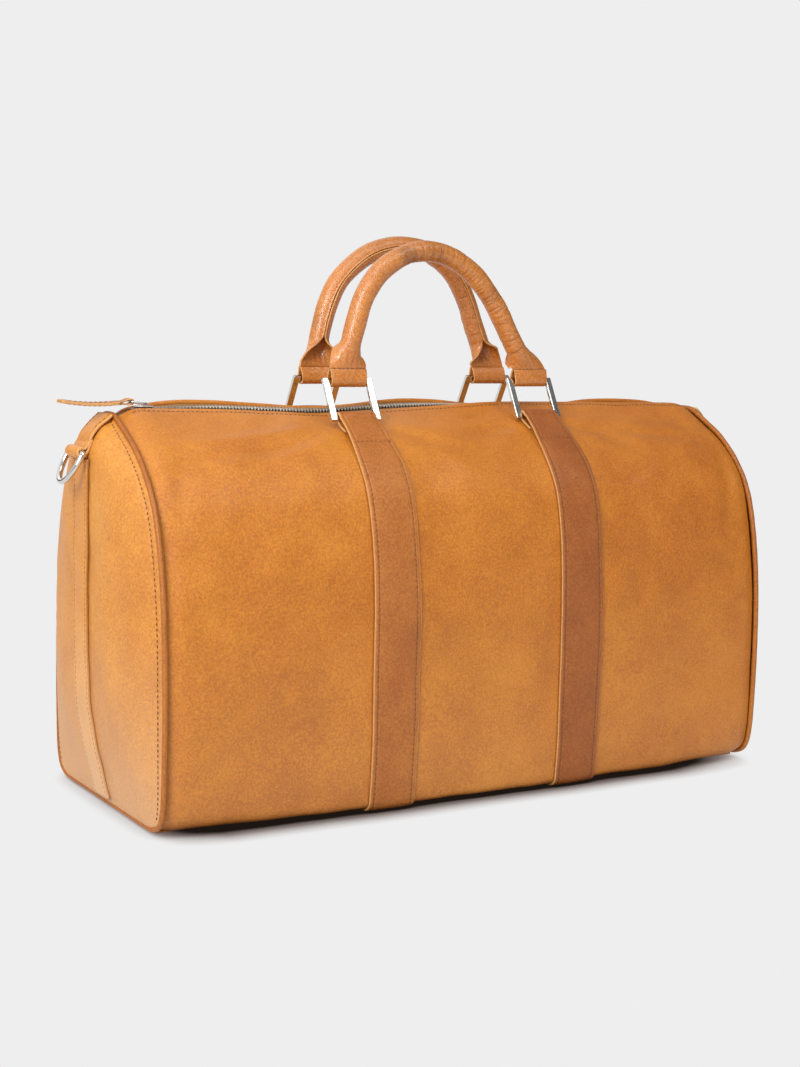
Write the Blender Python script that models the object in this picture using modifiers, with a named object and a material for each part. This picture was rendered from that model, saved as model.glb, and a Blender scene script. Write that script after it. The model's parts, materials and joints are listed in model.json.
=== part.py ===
"""Leather weekender bag: a soft shell with domed ends, a top zip and two rolled handles.

Frame: X runs along the bag, -Y is the front, Z is up, and the origin is the middle of the base
on the surface that the bag stands on. Lengths are metres and angles are degrees.
"""
import math

import bmesh
import bpy
import numpy as np
from mathutils import Matrix, Vector

# ---------------------------------------------------------------- driving dimensions
HALF_LENGTH = 0.250        # middle of the bag to the centre of the piping
LEATHER = 0.0020           # thickness of the shell leather
STRAP_LEATHER = 0.0018     # thickness of the bands, tabs and handle ends
GAP = 0.0003               # room between two pieces that touch on the real bag
SEWN_GAP = 0.0005          # room under a strap that is sewn to a curved panel

# Half section of the shell's outer face as (Y, Z), from the base seam up to the zip.
MID_SECTION = [
    (0.0785, 0.0032), (0.0915, 0.0085), (0.0975, 0.0220), (0.0995, 0.0500), (0.1003, 0.0950),
    (0.0998, 0.1400), (0.0965, 0.1830), (0.0890, 0.2170), (0.0745, 0.2400), (0.0550, 0.2550),
    (0.0340, 0.2655), (0.0160, 0.2740), (0.0070, 0.2775)]
END_SECTION = [
    (0.0785, 0.0032), (0.0905, 0.0085), (0.0960, 0.0220), (0.0978, 0.0500), (0.0982, 0.0950),
    (0.0962, 0.1400), (0.0905, 0.1800), (0.0812, 0.2120), (0.0670, 0.2335), (0.0480, 0.2510),
    (0.0290, 0.2620), (0.0140, 0.2695), (0.0070, 0.2725)]
TOP = len(MID_SECTION) - 1          # section parameter at the zip edge
SECTION_STEP = 0.5                  # section parameter from one row of faces to the next
RIDGE_STRAIGHT = 0.226              # the zip line is straight from -X to +X over this half length

BASE_HALF_WIDTH = 0.0780
LINING = 0.0006
LINING_INSET = 0.0026               # outer face of the lining, inside the shell's outer face
LINING_MOUTH_INSETS = (0.0030, 0.0036)        # the same beside the zip, where it folds in
ZIP_EDGE_RUN = 0.01                 # an edge of the lining longer than this along X borders the zip
BOARD = (0.476, 0.146, 0.0030)      # stiffener: length, width, thickness
PANEL_END = 0.2474                  # where the front, back and base panels stop, at the piping
PIPING_X = 0.2496
PIPING_RADIUS = 0.0019
END_RIM_X = 0.2508                  # outer face of an end panel at its rim
END_RIM_INSET = 0.00225             # rim of an end panel, inside the piping's centre line
END_BULGE = 0.0177                  # how far an end panel stands out at its middle
END_RISE = {"bottom": 0.110, "top": 0.030}    # distance from the rim over which it rises
END_SIDE_RISE = 0.75                # the same from its sides, as a share of its half width
MOUTH_Z = 0.25                      # everything above this height belongs to the zipped mouth

BAND_X = 0.0785                     # centre of a band, a ring and a handle's leg
BAND_WIDTH = 0.036
RING_SIZE = (0.040, 0.033, 0.003)   # outer width, outer height, thickness
RING_SIDE_BAR = 0.005
RING_END_BAR = 0.004
RING_REACH = RING_SIZE[1] - RING_END_BAR      # from the lower bar's centre to the upper bar's
RING_EDGE = 0.0004                  # bevel of a ring's edges
RING_WHERE = 10.0                   # section parameter below a ring's lower bar
LOOP_WIDTH = 0.029                  # leather looped round a ring's bar
LOOP_RADIUS = 0.0037                # centre of the bar to the middle of the leather
BAND_LOOP_RISE = 0.0052             # centre of the lower bar above the shell's face
BAND_LEAVES = 8.5                   # section parameter where a band leaves the shell
BAND_LIFT = [(9.0, 0.0024), (9.5, 0.0052), (9.8, 0.0078)]    # its height from there to the ring
BAND_RETURN = [9.75, 9.5, 9.25]     # and where its end lies on the shell, under itself

HANDLE_Y = 0.0225
HANDLE_RADIUS = 0.00775
CORE_RADIUS = 0.0050
HANDLE_ARCH = [                     # half of the handle's centre line as (X, Z)
    (0.0775, 0.3090), (0.0742, 0.3190), (0.0690, 0.3330), (0.0610, 0.3490), (0.0490, 0.3650),
    (0.0330, 0.3785), (0.0160, 0.3865), (0.0, 0.3890)]
HANDLE_STEP = 0.0100
HANDLE_END_TOP = 0.0290             # the flared end reaches this far above the bar
HANDLE_END_STEP = 0.0070
HANDLE_END_NECK = 0.0072            # half width of the flared end at its top
HANDLE_END_FLARE = 0.0060           # height above the bar where it starts to narrow
HANDLE_END_LEAN = 0.25              # inward lean of the flared end, as a slope
BORE_DROP = 0.0006                  # how far the cover's bore runs past its tube
CORE_TRIM = 0.0020                  # how far the core stops short of it

STRIP_WIDTH = 0.025
STRIP_Z = (0.0080, 0.2375)          # lower and upper end of the strip on an end panel
TAB_DROP = [                        # an end tab as (Z, height over the end panel's face)
    (0.2700, 0.0017), (0.2665, 0.0020), (0.2620, 0.0030), (0.2570, 0.0050), (0.2520, 0.0070)]
TAB_RETURN = (0.2530, 0.2580)       # Z of its end, under itself
TAB_LOOP_WIDTH = 0.022
TAB_LOOP_Z = 0.2475
TAB_LOOP_RADIUS = 0.0034
TAB_LOOP_RISE = 0.0050
D_RING_RADIUS = 0.0020              # of its wire
D_RING_HALF_WIDTH = 0.0135
D_RING_HEIGHT = 0.0225
D_RING_SQUARENESS = 0.8             # exponent of its bow: 1 is a half ellipse
D_RING_TILT = 28.0                  # from hanging straight down, outward

ZIP_Z = 0.2749
ZIP_HALF_LENGTH = 0.231
TAPE_EDGE_Y = 0.0034
TAPE = 0.0006
TOOTH = (0.0024, 0.0024)            # a tooth's length along X and its thickness
TOOTH_PITCH = 0.0070
TOOTH_TIP_Y = 0.0007
TEETH_CORD_Y = (0.0024, 0.0032)     # inner and outer edge of the cord that carries the teeth
ZIP_STOP = (0.0022, 0.0064, 0.0028)
SLIDER_X = -0.2245
SLIDER_PLATE = (0.0130, 0.0100, 0.0012)
SLIDER_PLATE_RISE = 0.0021          # plate's centre from the middle of the teeth
SLIDER_BLADE = (0.0030, 0.0006, 0.0036)
SLIDER_BLADE_X = -0.0045            # its centre from the slider's
CROWN = (0.0070, 0.0022, 0.0030)
CROWN_HOLE = 0.0022
CROWN_HOLE_RISE = 0.0015            # centre of the hole above the upper plate
LINK_RADIUS = 0.0008
LINK_HALF_WIDTH = 0.0044
LINK_REACH = (-0.0104, 0.0017)      # from the crown's hole to the bar that holds the tab
LINK_CORNER = 0.12                  # share of each of its sides that a corner takes
PULL_WIDTH = 0.013
PULL_THICKNESS = 0.0024
PULL_NECK = (0.0060, 0.0062)        # length and width of the narrow part round the link
PULL_EYE = 0.00115
PULL_DROOP = [(0.0, 0.0), (-0.008, -0.0008), (-0.022, -0.0015), (-0.036, -0.0010), (-0.050, 0.0007)]

SIDES = {"left": -1, "right": 1}
FACES = {"front": -1, "rear": 1}


# ---------------------------------------------------------------- curves and sections
def spline(points, where):
    """Point of a smooth curve through the points, with `where` counted in points."""
    points = np.asarray(points, float)
    last = len(points) - 1
    start = min(int(where), last - 1)
    t = where - start
    before = points[start - 1] if start > 0 else 2 * points[0] - points[1]
    after = points[start + 2] if start + 2 <= last else 2 * points[last] - points[last - 1]
    p1, p2 = points[start], points[start + 1]
    return (p1 + 0.5 * t * ((p2 - before) + t * ((2 * before - 5 * p1 + 4 * p2 - after)
            + t * (3 * (p1 - p2) + after - before))))


def end_weight(x, where):
    """How far the section at x has changed from the middle section to the end section."""
    body = min(abs(x) / HALF_LENGTH, 1.0) ** 3
    past = max(abs(x) - RIDGE_STRAIGHT, 0.0) / (HALF_LENGTH - RIDGE_STRAIGHT)
    near_zip = min(max((where - TOP + 3.0) / 2.0, 0.0), 1.0)
    return body * (1 - near_zip) + min(past, 1.0) ** 2 * near_zip


def section(x, where, out=0.0):
    """(Y, Z) on the shell's outer face, moved outward along its normal."""
    def face(at):
        weight = end_weight(x, where)
        return spline(MID_SECTION, at) * (1 - weight) + spline(END_SECTION, at) * weight
    step = 0.02
    along = face(min(where + step, TOP)) - face(max(where - step, 0.0))
    along /= np.linalg.norm(along)
    normal = np.array([along[1], -along[0]])
    return face(where) + normal * out


def rise(distance, over):
    """0 at a rim and 1 from `over` inward, rounded."""
    s = min(max(distance / over, 0.0), 1.0)
    return 1 - (1 - s) ** 2


def end_face_x(y, z):
    """Distance of an end panel's outer face from the middle of the bag."""
    rim = [section(HALF_LENGTH, w) for w in np.arange(0, TOP + 0.01, 0.5)]
    half_width = np.interp(z, [p[1] for p in rim], [p[0] for p in rim])
    swell = rise(z - rim[0][1], END_RISE["bottom"]) * rise(rim[-1][1] - z, END_RISE["top"])
    return END_RIM_X + END_BULGE * swell * rise(half_width - abs(y), END_SIDE_RISE * half_width)


def even_points(points, step):
    """Points along the smooth curve, about one step apart."""
    fine = [spline(points, w) for w in np.linspace(0, len(points) - 1, 400)]
    run = np.concatenate([[0], np.cumsum([np.linalg.norm(b - a) for a, b in zip(fine, fine[1:])])])
    marks = np.linspace(0, run[-1], int(round(run[-1] / step)) + 1)
    return [np.array([np.interp(m, run, [p[k] for p in fine]) for k in range(2)]) for m in marks]


SECTION_ROWS = np.arange(0, TOP + SECTION_STEP / 2, SECTION_STEP)


# ---------------------------------------------------------------- building blocks
def clear_scene():
    for obj in list(bpy.data.objects):
        bpy.data.objects.remove(obj, do_unlink=True)


def new_collection(name):
    collection = bpy.data.collections.new(name)
    bpy.context.scene.collection.children.link(collection)
    return collection


def new_material(name, colour, roughness, metallic):
    material = bpy.data.materials.new(name)
    material.use_nodes = True
    shader = material.node_tree.nodes["Principled BSDF"]
    shader.inputs["Base Color"].default_value = (*colour, 1.0)
    shader.inputs["Roughness"].default_value = roughness
    shader.inputs["Metallic"].default_value = metallic
    return material


def add_object(name, data, material, origin=(0, 0, 0)):
    """Object in the bag's collection, with its origin at a point given in the bag's frame."""
    obj = bpy.data.objects.new(name, data)
    PARTS.objects.link(obj)
    data.materials.append(material)
    obj.location = origin
    return obj


def mesh_from(bm, name):
    mesh = bpy.data.meshes.new(name)
    bm.to_mesh(mesh)
    bm.free()
    return mesh


def shade_round(mesh, angle=40.0):
    mesh.shade_smooth()
    mesh.set_sharp_from_angle(angle=math.radians(angle))


def sheet(name, across, along, surface, thickness, material, offset=-1.0, flip=False, origin=(0, 0, 0)):
    """A grid laid on surface(a, b), given thickness by Solidify."""
    bm = bmesh.new()
    bmesh.ops.create_grid(bm, x_segments=len(across) - 1, y_segments=len(along) - 1, size=0.5)
    for vert in bm.verts:
        i = round((vert.co.x + 0.5) * (len(across) - 1))
        j = round((vert.co.y + 0.5) * (len(along) - 1))
        vert.co = Vector(surface(across[i], along[j])) - Vector(origin)
    if flip:
        bmesh.ops.reverse_faces(bm, faces=bm.faces)
    mesh = mesh_from(bm, name)
    shade_round(mesh)
    obj = add_object(name, mesh, material, origin)
    solid = obj.modifiers.new("thickness", "SOLIDIFY")
    solid.thickness = thickness
    solid.offset = offset
    return obj


def strap(name, path, half_width, place, thickness, material, flip=False, origin=(0, 0, 0)):
    """A strap along a path of (a, b) points; place(a, b, s) puts a point of it in the frame."""
    def surface(s, k):
        a, b = path[k]
        return place(a, b, s * half_width(k))
    return sheet(name, [-1.0, 1.0], list(range(len(path))), surface, thickness, material,
                 offset=0.0, flip=flip, origin=origin)


def box_mesh(name, size, centre=(0, 0, 0)):
    bm = bmesh.new()
    bmesh.ops.create_cube(bm, size=1.0, matrix=Matrix.Translation(centre) @ Matrix.Diagonal((*size, 1.0)))
    return mesh_from(bm, name)


def plate(name, outlines, thickness, material, origin):
    """A flat plate: the first outline is its rim and the others are holes, in its own XY plane."""
    curve = bpy.data.curves.new(name, "CURVE")
    curve.dimensions = "2D"
    curve.fill_mode = "BOTH"
    curve.extrude = thickness / 2
    for outline in outlines:
        ring = curve.splines.new("POLY")
        ring.points.add(len(outline) - 1)
        for point, (a, b) in zip(ring.points, outline):
            point.co = (a, b, 0, 1)
        ring.use_cyclic_u = True
    return add_object(name, curve, material, origin)


def meshed(obj, name):
    """The object's evaluated shape as a welded mesh; the object is removed."""
    bpy.context.view_layer.update()
    mesh = bpy.data.meshes.new_from_object(obj.evaluated_get(bpy.context.evaluated_depsgraph_get()))
    bpy.data.objects.remove(obj, do_unlink=True)
    bm = bmesh.new()
    bm.from_mesh(mesh)
    bpy.data.meshes.remove(mesh)
    bmesh.ops.remove_doubles(bm, verts=bm.verts, dist=1e-5)
    bmesh.ops.recalc_face_normals(bm, faces=bm.faces)
    welded = mesh_from(bm, name)
    welded.materials.clear()
    return welded


def tube_mesh(name, points, radius, resolution, cyclic=False):
    """A welded tube along a POLY curve."""
    curve = bpy.data.curves.new(name, "CURVE")
    curve.dimensions = "3D"
    curve.bevel_depth = radius
    curve.bevel_resolution = resolution
    curve.use_fill_caps = not cyclic
    line = curve.splines.new("POLY")
    line.points.add(len(points) - 1)
    for point, co in zip(line.points, points):
        point.co = (*co, 1.0)
    line.use_cyclic_u = cyclic
    guide = bpy.data.objects.new(name + "_curve", curve)
    PARTS.objects.link(guide)
    tube = meshed(guide, name)
    shade_round(tube)
    return tube


def add_cutter(name, mesh, origin=(0, 0, 0)):
    cutter = bpy.data.objects.new(name, mesh)
    CUTTERS.objects.link(cutter)
    cutter.location = origin
    cutter.hide_render = True
    cutter.display_type = "WIRE"
    return cutter


def boolean(obj, operation, other):
    step = obj.modifiers.new(operation.lower(), "BOOLEAN")
    step.operation = operation
    step.solver = "EXACT"
    step.object = other


def soften(obj, width):
    edge = obj.modifiers.new("edge", "BEVEL")
    edge.width = width
    edge.segments = 1
    edge.limit_method = "ANGLE"


# ---------------------------------------------------------------- shell
def panel_columns(limit):
    half = [0.05, 0.10, 0.15, 0.19, RIDGE_STRAIGHT, limit]
    return [-x for x in reversed(half)] + [0.0] + half


def shell_panel(name, face):
    def surface(x, where):
        y, z = section(x, where)
        return (x, face * y, z)
    return sheet(name, panel_columns(PANEL_END), SECTION_ROWS, surface, LEATHER, LEATHER_TAN,
                 flip=face > 0)


def base_panel():
    mesh = box_mesh("base_panel", (2 * PANEL_END, 2 * BASE_HALF_WIDTH, LEATHER), (0, 0, LEATHER / 2))
    return add_object("base_panel", mesh, LEATHER_TAN)


def base_board():
    lift = LEATHER + GAP + BOARD[2] / 2
    return add_object("base_board", box_mesh("base_board", BOARD, (0, 0, lift)), BOARD_GREY)


def end_panel(name, side):
    def surface(u, where):
        y, z = section(HALF_LENGTH, where, -END_RIM_INSET)
        return (side * end_face_x(u * y, z), u * y, z)
    columns = [-1.0, -0.75, -0.4, 0.0, 0.4, 0.75, 1.0]
    return sheet(name, columns, SECTION_ROWS, surface, LEATHER, LEATHER_TAN, flip=side < 0)


def piping(name, side):
    half = [section(HALF_LENGTH, where) for where in SECTION_ROWS]
    loop = [(side * PIPING_X, y, z) for y, z in half]
    loop += [(side * PIPING_X, -y, z) for y, z in reversed(half)]
    return add_object(name, tube_mesh(name, loop, PIPING_RADIUS, 2, cyclic=True), LEATHER_TAN)


def lining():
    """A fabric bag inside the shell, open along the zip."""
    floor = LEATHER + BOARD[2] + 3 * GAP
    insets = [LINING_INSET] * (TOP - 2) + list(LINING_MOUTH_INSETS)
    half = list(enumerate(insets))
    path = [(-1, *row) for row in reversed(half)] + [(1, *row) for row in half]
    end = PANEL_END - 2 * GAP - LEATHER
    columns = [-end, -0.19, -0.10, 0.0, 0.10, 0.19, end]
    bm = bmesh.new()
    bmesh.ops.create_grid(bm, x_segments=len(columns) - 1, y_segments=len(path) - 1, size=0.5)
    for vert in bm.verts:
        x = columns[round((vert.co.x + 0.5) * (len(columns) - 1))]
        face, where, inset = path[round((vert.co.y + 0.5) * (len(path) - 1))]
        y, z = section(x, where, -inset)
        vert.co = (x, face * y, max(z, floor))
    slit = [e for e in bm.edges if all(v.co.z > MOUTH_Z for v in e.verts) and e.is_boundary]
    zip_edges = [e for e in slit if abs(e.verts[0].co.x - e.verts[1].co.x) > ZIP_EDGE_RUN]
    rims = [e for e in bm.edges if e.is_boundary and e not in zip_edges]
    for side in SIDES.values():
        rim = [e for e in rims if side * e.verts[0].co.x > 0]
        corners = [v for v in {v for e in rim for v in e.verts} if v.co.z > MOUTH_Z
                   and sum(e in rim for e in v.link_edges) == 1]
        rim.append(bm.edges.new(corners))
        bmesh.ops.contextual_create(bm, geom=rim)
    bmesh.ops.recalc_face_normals(bm, faces=bm.faces)
    obj = add_object("lining", mesh_from(bm, "lining"), LINING_FABRIC)
    solid = obj.modifiers.new("thickness", "SOLIDIFY")
    solid.thickness = LINING
    solid.offset = -1.0
    return obj


# ---------------------------------------------------------------- straps on the shell
def loop_arc(centre, first, radius, turn, steps):
    """Points round a centre, starting in the direction `first` and turning `turn` degrees."""
    start = math.atan2(first[1], first[0])
    angles = [start + math.radians(turn) * k / steps for k in range(steps + 1)]
    return [(centre[0] + radius * math.cos(a), centre[1] + radius * math.sin(a)) for a in angles]


def ring_axis():
    """(Y, Z) of a ring's lower bar, in the half section."""
    return section(BAND_X, RING_WHERE, BAND_LOOP_RISE)


def handle_axis():
    """(Y, Z) of a ring's upper bar, in the half section."""
    y, z = ring_axis()
    return (HANDLE_Y, z + math.sqrt(RING_REACH ** 2 - (y - HANDLE_Y) ** 2))


def band(name, side, face):
    """A strap up the panel, round the ring's lower bar and back under itself."""
    flat = SEWN_GAP + STRAP_LEATHER / 2
    rows = [(w, flat) for w in np.arange(0, BAND_LEAVES + SECTION_STEP / 2, SECTION_STEP)]
    last_wide_row = len(rows)
    rows += BAND_LIFT
    path = [section(BAND_X, w, height) for w, height in rows]
    centre = np.array(ring_axis())
    outward = centre - section(BAND_X, RING_WHERE)
    path += loop_arc(centre, outward, LOOP_RADIUS, 180, 6)
    path += [section(BAND_X, w, flat) for w in BAND_RETURN]

    def half_width(k):
        return (BAND_WIDTH if k <= last_wide_row else LOOP_WIDTH) / 2

    def place(y, z, s):
        return (side * BAND_X + s, face * y, z)
    return strap(name, path, half_width, place, STRAP_LEATHER, LEATHER_TAN, flip=face > 0)


def rectangular_ring(name, side, face):
    """A flat metal ring that turns on its lower bar."""
    width, height, thick = RING_SIZE
    y, z = ring_axis()
    origin = (side * BAND_X, face * y, z)
    middle = RING_REACH / 2
    obj = add_object(name, box_mesh(name, (width, thick, height), (0, 0, middle)), METAL_POLISHED, origin)
    lean = math.asin((y - HANDLE_Y) / RING_REACH)
    hole_size = (width - 2 * RING_SIDE_BAR, 3 * thick, height - 2 * RING_END_BAR)
    hole = add_cutter(name + "_hole", box_mesh(name + "_hole", hole_size, (0, 0, middle)), origin)
    for part in (obj, hole):
        part.rotation_euler = (face * lean, 0, 0)
    boolean(obj, "DIFFERENCE", hole)
    soften(obj, RING_EDGE)
    return obj


def end_strip(name, side):
    heights = [section(HALF_LENGTH, w, -END_RIM_INSET)[1] for w in SECTION_ROWS]
    low, high = STRIP_Z
    rows = [low] + [z for z in heights if low + LEATHER / 4 < z < high - LEATHER] + [high]
    path = [(end_face_x(0, z) + GAP + LEATHER / 2, z) for z in rows]

    def place(x, z, s):
        return (side * x, s, z)
    return strap(name, path, lambda k: STRIP_WIDTH / 2, place, LEATHER, LEATHER_TAN, flip=side < 0)


def tab_loop_axis():
    """(X, Z) of a D-ring's straight bar, for the right end."""
    return (end_face_x(0, TAB_LOOP_Z) + TAB_LOOP_RISE, TAB_LOOP_Z)


def end_tab(name, side):
    """A tab from the zip's end down the end panel, looped round the D-ring."""
    path = [(end_face_x(0, z) + height, z) for z, height in TAB_DROP]
    path += loop_arc(tab_loop_axis(), (1, 0), TAB_LOOP_RADIUS, -180, 6)
    path += [(end_face_x(0, z) + SEWN_GAP + STRAP_LEATHER / 2, z) for z in TAB_RETURN]

    def half_width(k):
        return (STRIP_WIDTH if k < 2 else TAB_LOOP_WIDTH) / 2

    def place(x, z, s):
        return (side * x, s, z)
    return strap(name, path, half_width, place, STRAP_LEATHER, LEATHER_TAN, flip=side > 0)


def d_ring(name, side):
    """A closed D of round wire: a straight bar and a bow, hanging from its tab."""
    x, z = tab_loop_axis()
    tilt = math.radians(D_RING_TILT)
    bow = np.linspace(0, math.pi, 15)[1:-1]
    outline = [(-D_RING_HALF_WIDTH, 0.0), (D_RING_HALF_WIDTH, 0.0)]
    outline += [(D_RING_HALF_WIDTH * math.cos(a), D_RING_HEIGHT * math.sin(a) ** D_RING_SQUARENESS)
                for a in bow]
    points = [(side * down * math.sin(tilt), across, -down * math.cos(tilt)) for across, down in outline]
    mesh = tube_mesh(name, points, D_RING_RADIUS, 2, cyclic=True)
    return add_object(name, mesh, METAL_POLISHED, (side * x, 0, z))


# ---------------------------------------------------------------- handles
def handle_line(past_end=0.0):
    """Centre line of a handle from left to right, relative to the middle of its hinge axis."""
    half = even_points(HANDLE_ARCH, HANDLE_STEP)
    down = half[0] - half[1]
    down /= np.linalg.norm(down)
    half[0] = half[0] + down * past_end
    _, z0 = handle_axis()
    left = [(-x, 0, z - z0) for x, z in half]
    right = [(x, 0, z - z0) for x, z in reversed(half[:-1])]
    return left + right


def handle_end(name, side):
    """The flat flared end of the handle's leather, folded round the ring's upper bar."""
    leg = list(np.arange(HANDLE_END_STEP, HANDLE_END_TOP - LEATHER, HANDLE_END_STEP)) + [HANDLE_END_TOP]
    path = [(LOOP_RADIUS, z) for z in reversed(leg)]
    path += loop_arc((0, 0), (1, 0), LOOP_RADIUS, -180, 6)
    path += [(-LOOP_RADIUS, z) for z in leg]

    def half_width(k):
        height = max(path[k][1], 0.0)
        flare = max(height - HANDLE_END_FLARE, 0.0) / (HANDLE_END_TOP - HANDLE_END_FLARE)
        return LOOP_WIDTH / 2 * (1 - flare) + HANDLE_END_NECK * flare

    def place(y, z, s):
        lean_in = side * max(z, 0.0) * HANDLE_END_LEAN
        return (side * BAND_X + s - lean_in, y, z)
    return meshed(strap(name, path, half_width, place, STRAP_LEATHER, LEATHER_TAN), name)


def handle(face_name, face):
    """The rolled leather cover with its two flared ends, and the core that it is rolled round."""
    _, z = handle_axis()
    origin = (0, face * HANDLE_Y, z)
    cover_name = face_name + "_handle_cover"
    tube = tube_mesh(cover_name, handle_line(), HANDLE_RADIUS, 4)
    cover = add_object(cover_name, tube, LEATHER_TAN, origin)
    for side_name, side in SIDES.items():
        end_name = cover_name + "_end_" + side_name
        boolean(cover, "UNION", add_cutter(end_name, handle_end(end_name, side), origin))
    bore = tube_mesh(cover_name + "_bore", handle_line(BORE_DROP), CORE_RADIUS + GAP, 2)
    boolean(cover, "DIFFERENCE", add_cutter(cover_name + "_bore", bore, origin))
    core_name = face_name + "_handle_core"
    core = tube_mesh(core_name, handle_line(-CORE_TRIM), CORE_RADIUS, 2)
    return cover, add_object(core_name, core, CORE_CORD, origin)


# ---------------------------------------------------------------- zip
def zip_tape(name, face):
    """A woven tape under the panel's edge, reaching in to the teeth."""
    under = -LEATHER - GAP - TAPE / 2

    def surface(x, k):
        if k < 3:
            y, z = section(x, TOP - 1.5 + 0.5 * k, under)
        else:
            y, z = TAPE_EDGE_Y, section(x, TOP)[1] + ZIP_Z - MID_SECTION[-1][1]
        return (x, face * y, z)
    return sheet(name, panel_columns(PANEL_END - 0.001), [0, 1, 2, 3], surface, TAPE, TAPE_FABRIC,
                 offset=0.0, flip=face > 0)


def zip_teeth(name, face):
    """A row of teeth on the cord along the tape's edge, as one comb."""
    count = int(2 * ZIP_HALF_LENGTH / TOOTH_PITCH)
    half = TOOTH[0] / 2
    shift = -face * TOOTH_PITCH / 4
    comb = [(-ZIP_HALF_LENGTH, TEETH_CORD_Y[1]), (ZIP_HALF_LENGTH, TEETH_CORD_Y[1])]
    comb.append((ZIP_HALF_LENGTH, TEETH_CORD_Y[0]))
    for k in reversed(range(count)):
        x = (k - (count - 1) / 2) * TOOTH_PITCH + shift
        comb += [(x + half, TEETH_CORD_Y[0]), (x + half, TOOTH_TIP_Y)]
        comb += [(x - half, TOOTH_TIP_Y), (x - half, TEETH_CORD_Y[0])]
    comb.append((-ZIP_HALF_LENGTH, TEETH_CORD_Y[0]))
    rim = [(x, face * y) for x, y in comb]
    return plate(name, [rim], TOOTH[1], METAL_ZIP, (0, 0, ZIP_Z))


def zip_stop(name, side):
    """A metal stop pressed over the end of the teeth."""
    centre = (side * (ZIP_HALF_LENGTH + GAP + ZIP_STOP[0] / 2), 0, ZIP_Z)
    return add_object(name, box_mesh(name, ZIP_STOP), METAL_ZIP, centre)


def crown_axis():
    """(X, Z) of the hole in the slider's crown."""
    return (SLIDER_X, ZIP_Z + SLIDER_PLATE_RISE + SLIDER_PLATE[2] / 2 + CROWN_HOLE_RISE)


def zip_slider():
    """Two plates over and under the teeth, a thin blade between them, and a crown for the link."""
    x, hole_z = crown_axis()
    origin = (x, 0, ZIP_Z)
    obj = add_object("zip_slider", box_mesh("zip_slider", SLIDER_PLATE, (0, 0, SLIDER_PLATE_RISE)),
                     METAL_POLISHED, origin)
    lower = box_mesh("slider_lower_plate", SLIDER_PLATE, (0, 0, -SLIDER_PLATE_RISE))
    blade = box_mesh("slider_blade", SLIDER_BLADE, (SLIDER_BLADE_X, 0, 0))
    rise_z = hole_z - ZIP_Z
    crown = box_mesh("slider_crown", CROWN, (0, 0, rise_z))
    hole = box_mesh("slider_hole", (CROWN_HOLE, 2 * CROWN[1], CROWN_HOLE), (0, 0, rise_z))
    boolean(obj, "UNION", add_cutter("slider_lower_plate", lower, origin))
    boolean(obj, "UNION", add_cutter("slider_blade", blade, origin))
    boolean(obj, "UNION", add_cutter("slider_crown", crown, origin))
    boolean(obj, "DIFFERENCE", add_cutter("slider_hole", hole, origin))
    return obj


def zip_pull_link():
    """A small wire link through the slider's crown."""
    x, z = crown_axis()
    reach_x, reach_z = LINK_REACH
    points = [(0, -LINK_HALF_WIDTH, 0), (0, LINK_HALF_WIDTH, 0),
              (reach_x, LINK_HALF_WIDTH, reach_z), (reach_x, -LINK_HALF_WIDTH, reach_z)]
    dense = []
    for a, b in zip(points, points[1:] + points[:1]):
        dense += [tuple(np.array(a) * (1 - t) + np.array(b) * t) for t in (LINK_CORNER, 1 - LINK_CORNER)]
    mesh = tube_mesh("zip_pull_link", dense, LINK_RADIUS, 2, cyclic=True)
    return add_object("zip_pull_link", mesh, METAL_POLISHED, (x, 0, z))


def pull_axis():
    """(X, Z) of the link's outer bar, where the leather tab turns."""
    x, z = crown_axis()
    return (x + LINK_REACH[0], z + LINK_REACH[1])


def zip_pull_tab():
    """A folded and sewn leather tab with an eye round the link."""
    x, z = pull_axis()
    line = [spline(PULL_DROOP, w) for w in np.linspace(0.5, len(PULL_DROOP) - 1, 8)]
    half = PULL_THICKNESS / 2
    upper = [(a, b + half) for a, b in line]
    lower = [(a, b - half) for a, b in reversed(line)]
    round_eye = [(2 * half * math.cos(t), 2 * half * math.sin(t))
                 for t in [math.radians(d) for d in (-120, -80, -40, 0, 40, 80, 120)]]
    hole = [(PULL_EYE * math.cos(t), PULL_EYE * math.sin(t))
            for t in [2 * math.pi * k / 10 for k in range(10)]]
    flat = plate("zip_pull_tab", [round_eye + upper + lower, hole], PULL_WIDTH, LEATHER_TAN, (0, 0, 0))
    mesh = meshed(flat, "zip_pull_tab")
    mesh.transform(Matrix.Rotation(math.radians(90), 4, "X"))
    obj = add_object("zip_pull_tab", mesh, LEATHER_TAN, (x, 0, z))
    for side_name, side in SIDES.items():
        name = "pull_neck_" + side_name
        centre = (0, side * (PULL_NECK[1] + PULL_WIDTH) / 2, 0)
        notch = box_mesh(name, (2 * PULL_NECK[0], PULL_WIDTH, 0.02), centre)
        boolean(obj, "DIFFERENCE", add_cutter(name, notch, (x, 0, z)))
    return obj


# ---------------------------------------------------------------- the bag
def build_bag():
    shell_panel("front_panel", FACES["front"])
    shell_panel("back_panel", FACES["rear"])
    base_panel()
    base_board()
    lining()
    for side_name, side in SIDES.items():
        end_panel("end_panel_" + side_name, side)
        piping("piping_" + side_name, side)
        end_strip("end_strip_" + side_name, side)
        end_tab("end_tab_" + side_name, side)
        d_ring("d_ring_" + side_name, side)
    for face_name, face in FACES.items():
        for side_name, side in SIDES.items():
            band(f"{face_name}_band_{side_name}", side, face)
            rectangular_ring(f"{face_name}_ring_{side_name}", side, face)
        handle(face_name, face)
        zip_tape("zip_tape_" + face_name, face)
        zip_teeth("zip_teeth_" + face_name, face)
    for side_name, side in SIDES.items():
        zip_stop("zip_stop_" + side_name, side)
    zip_slider()
    zip_pull_link()
    zip_pull_tab()


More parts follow.
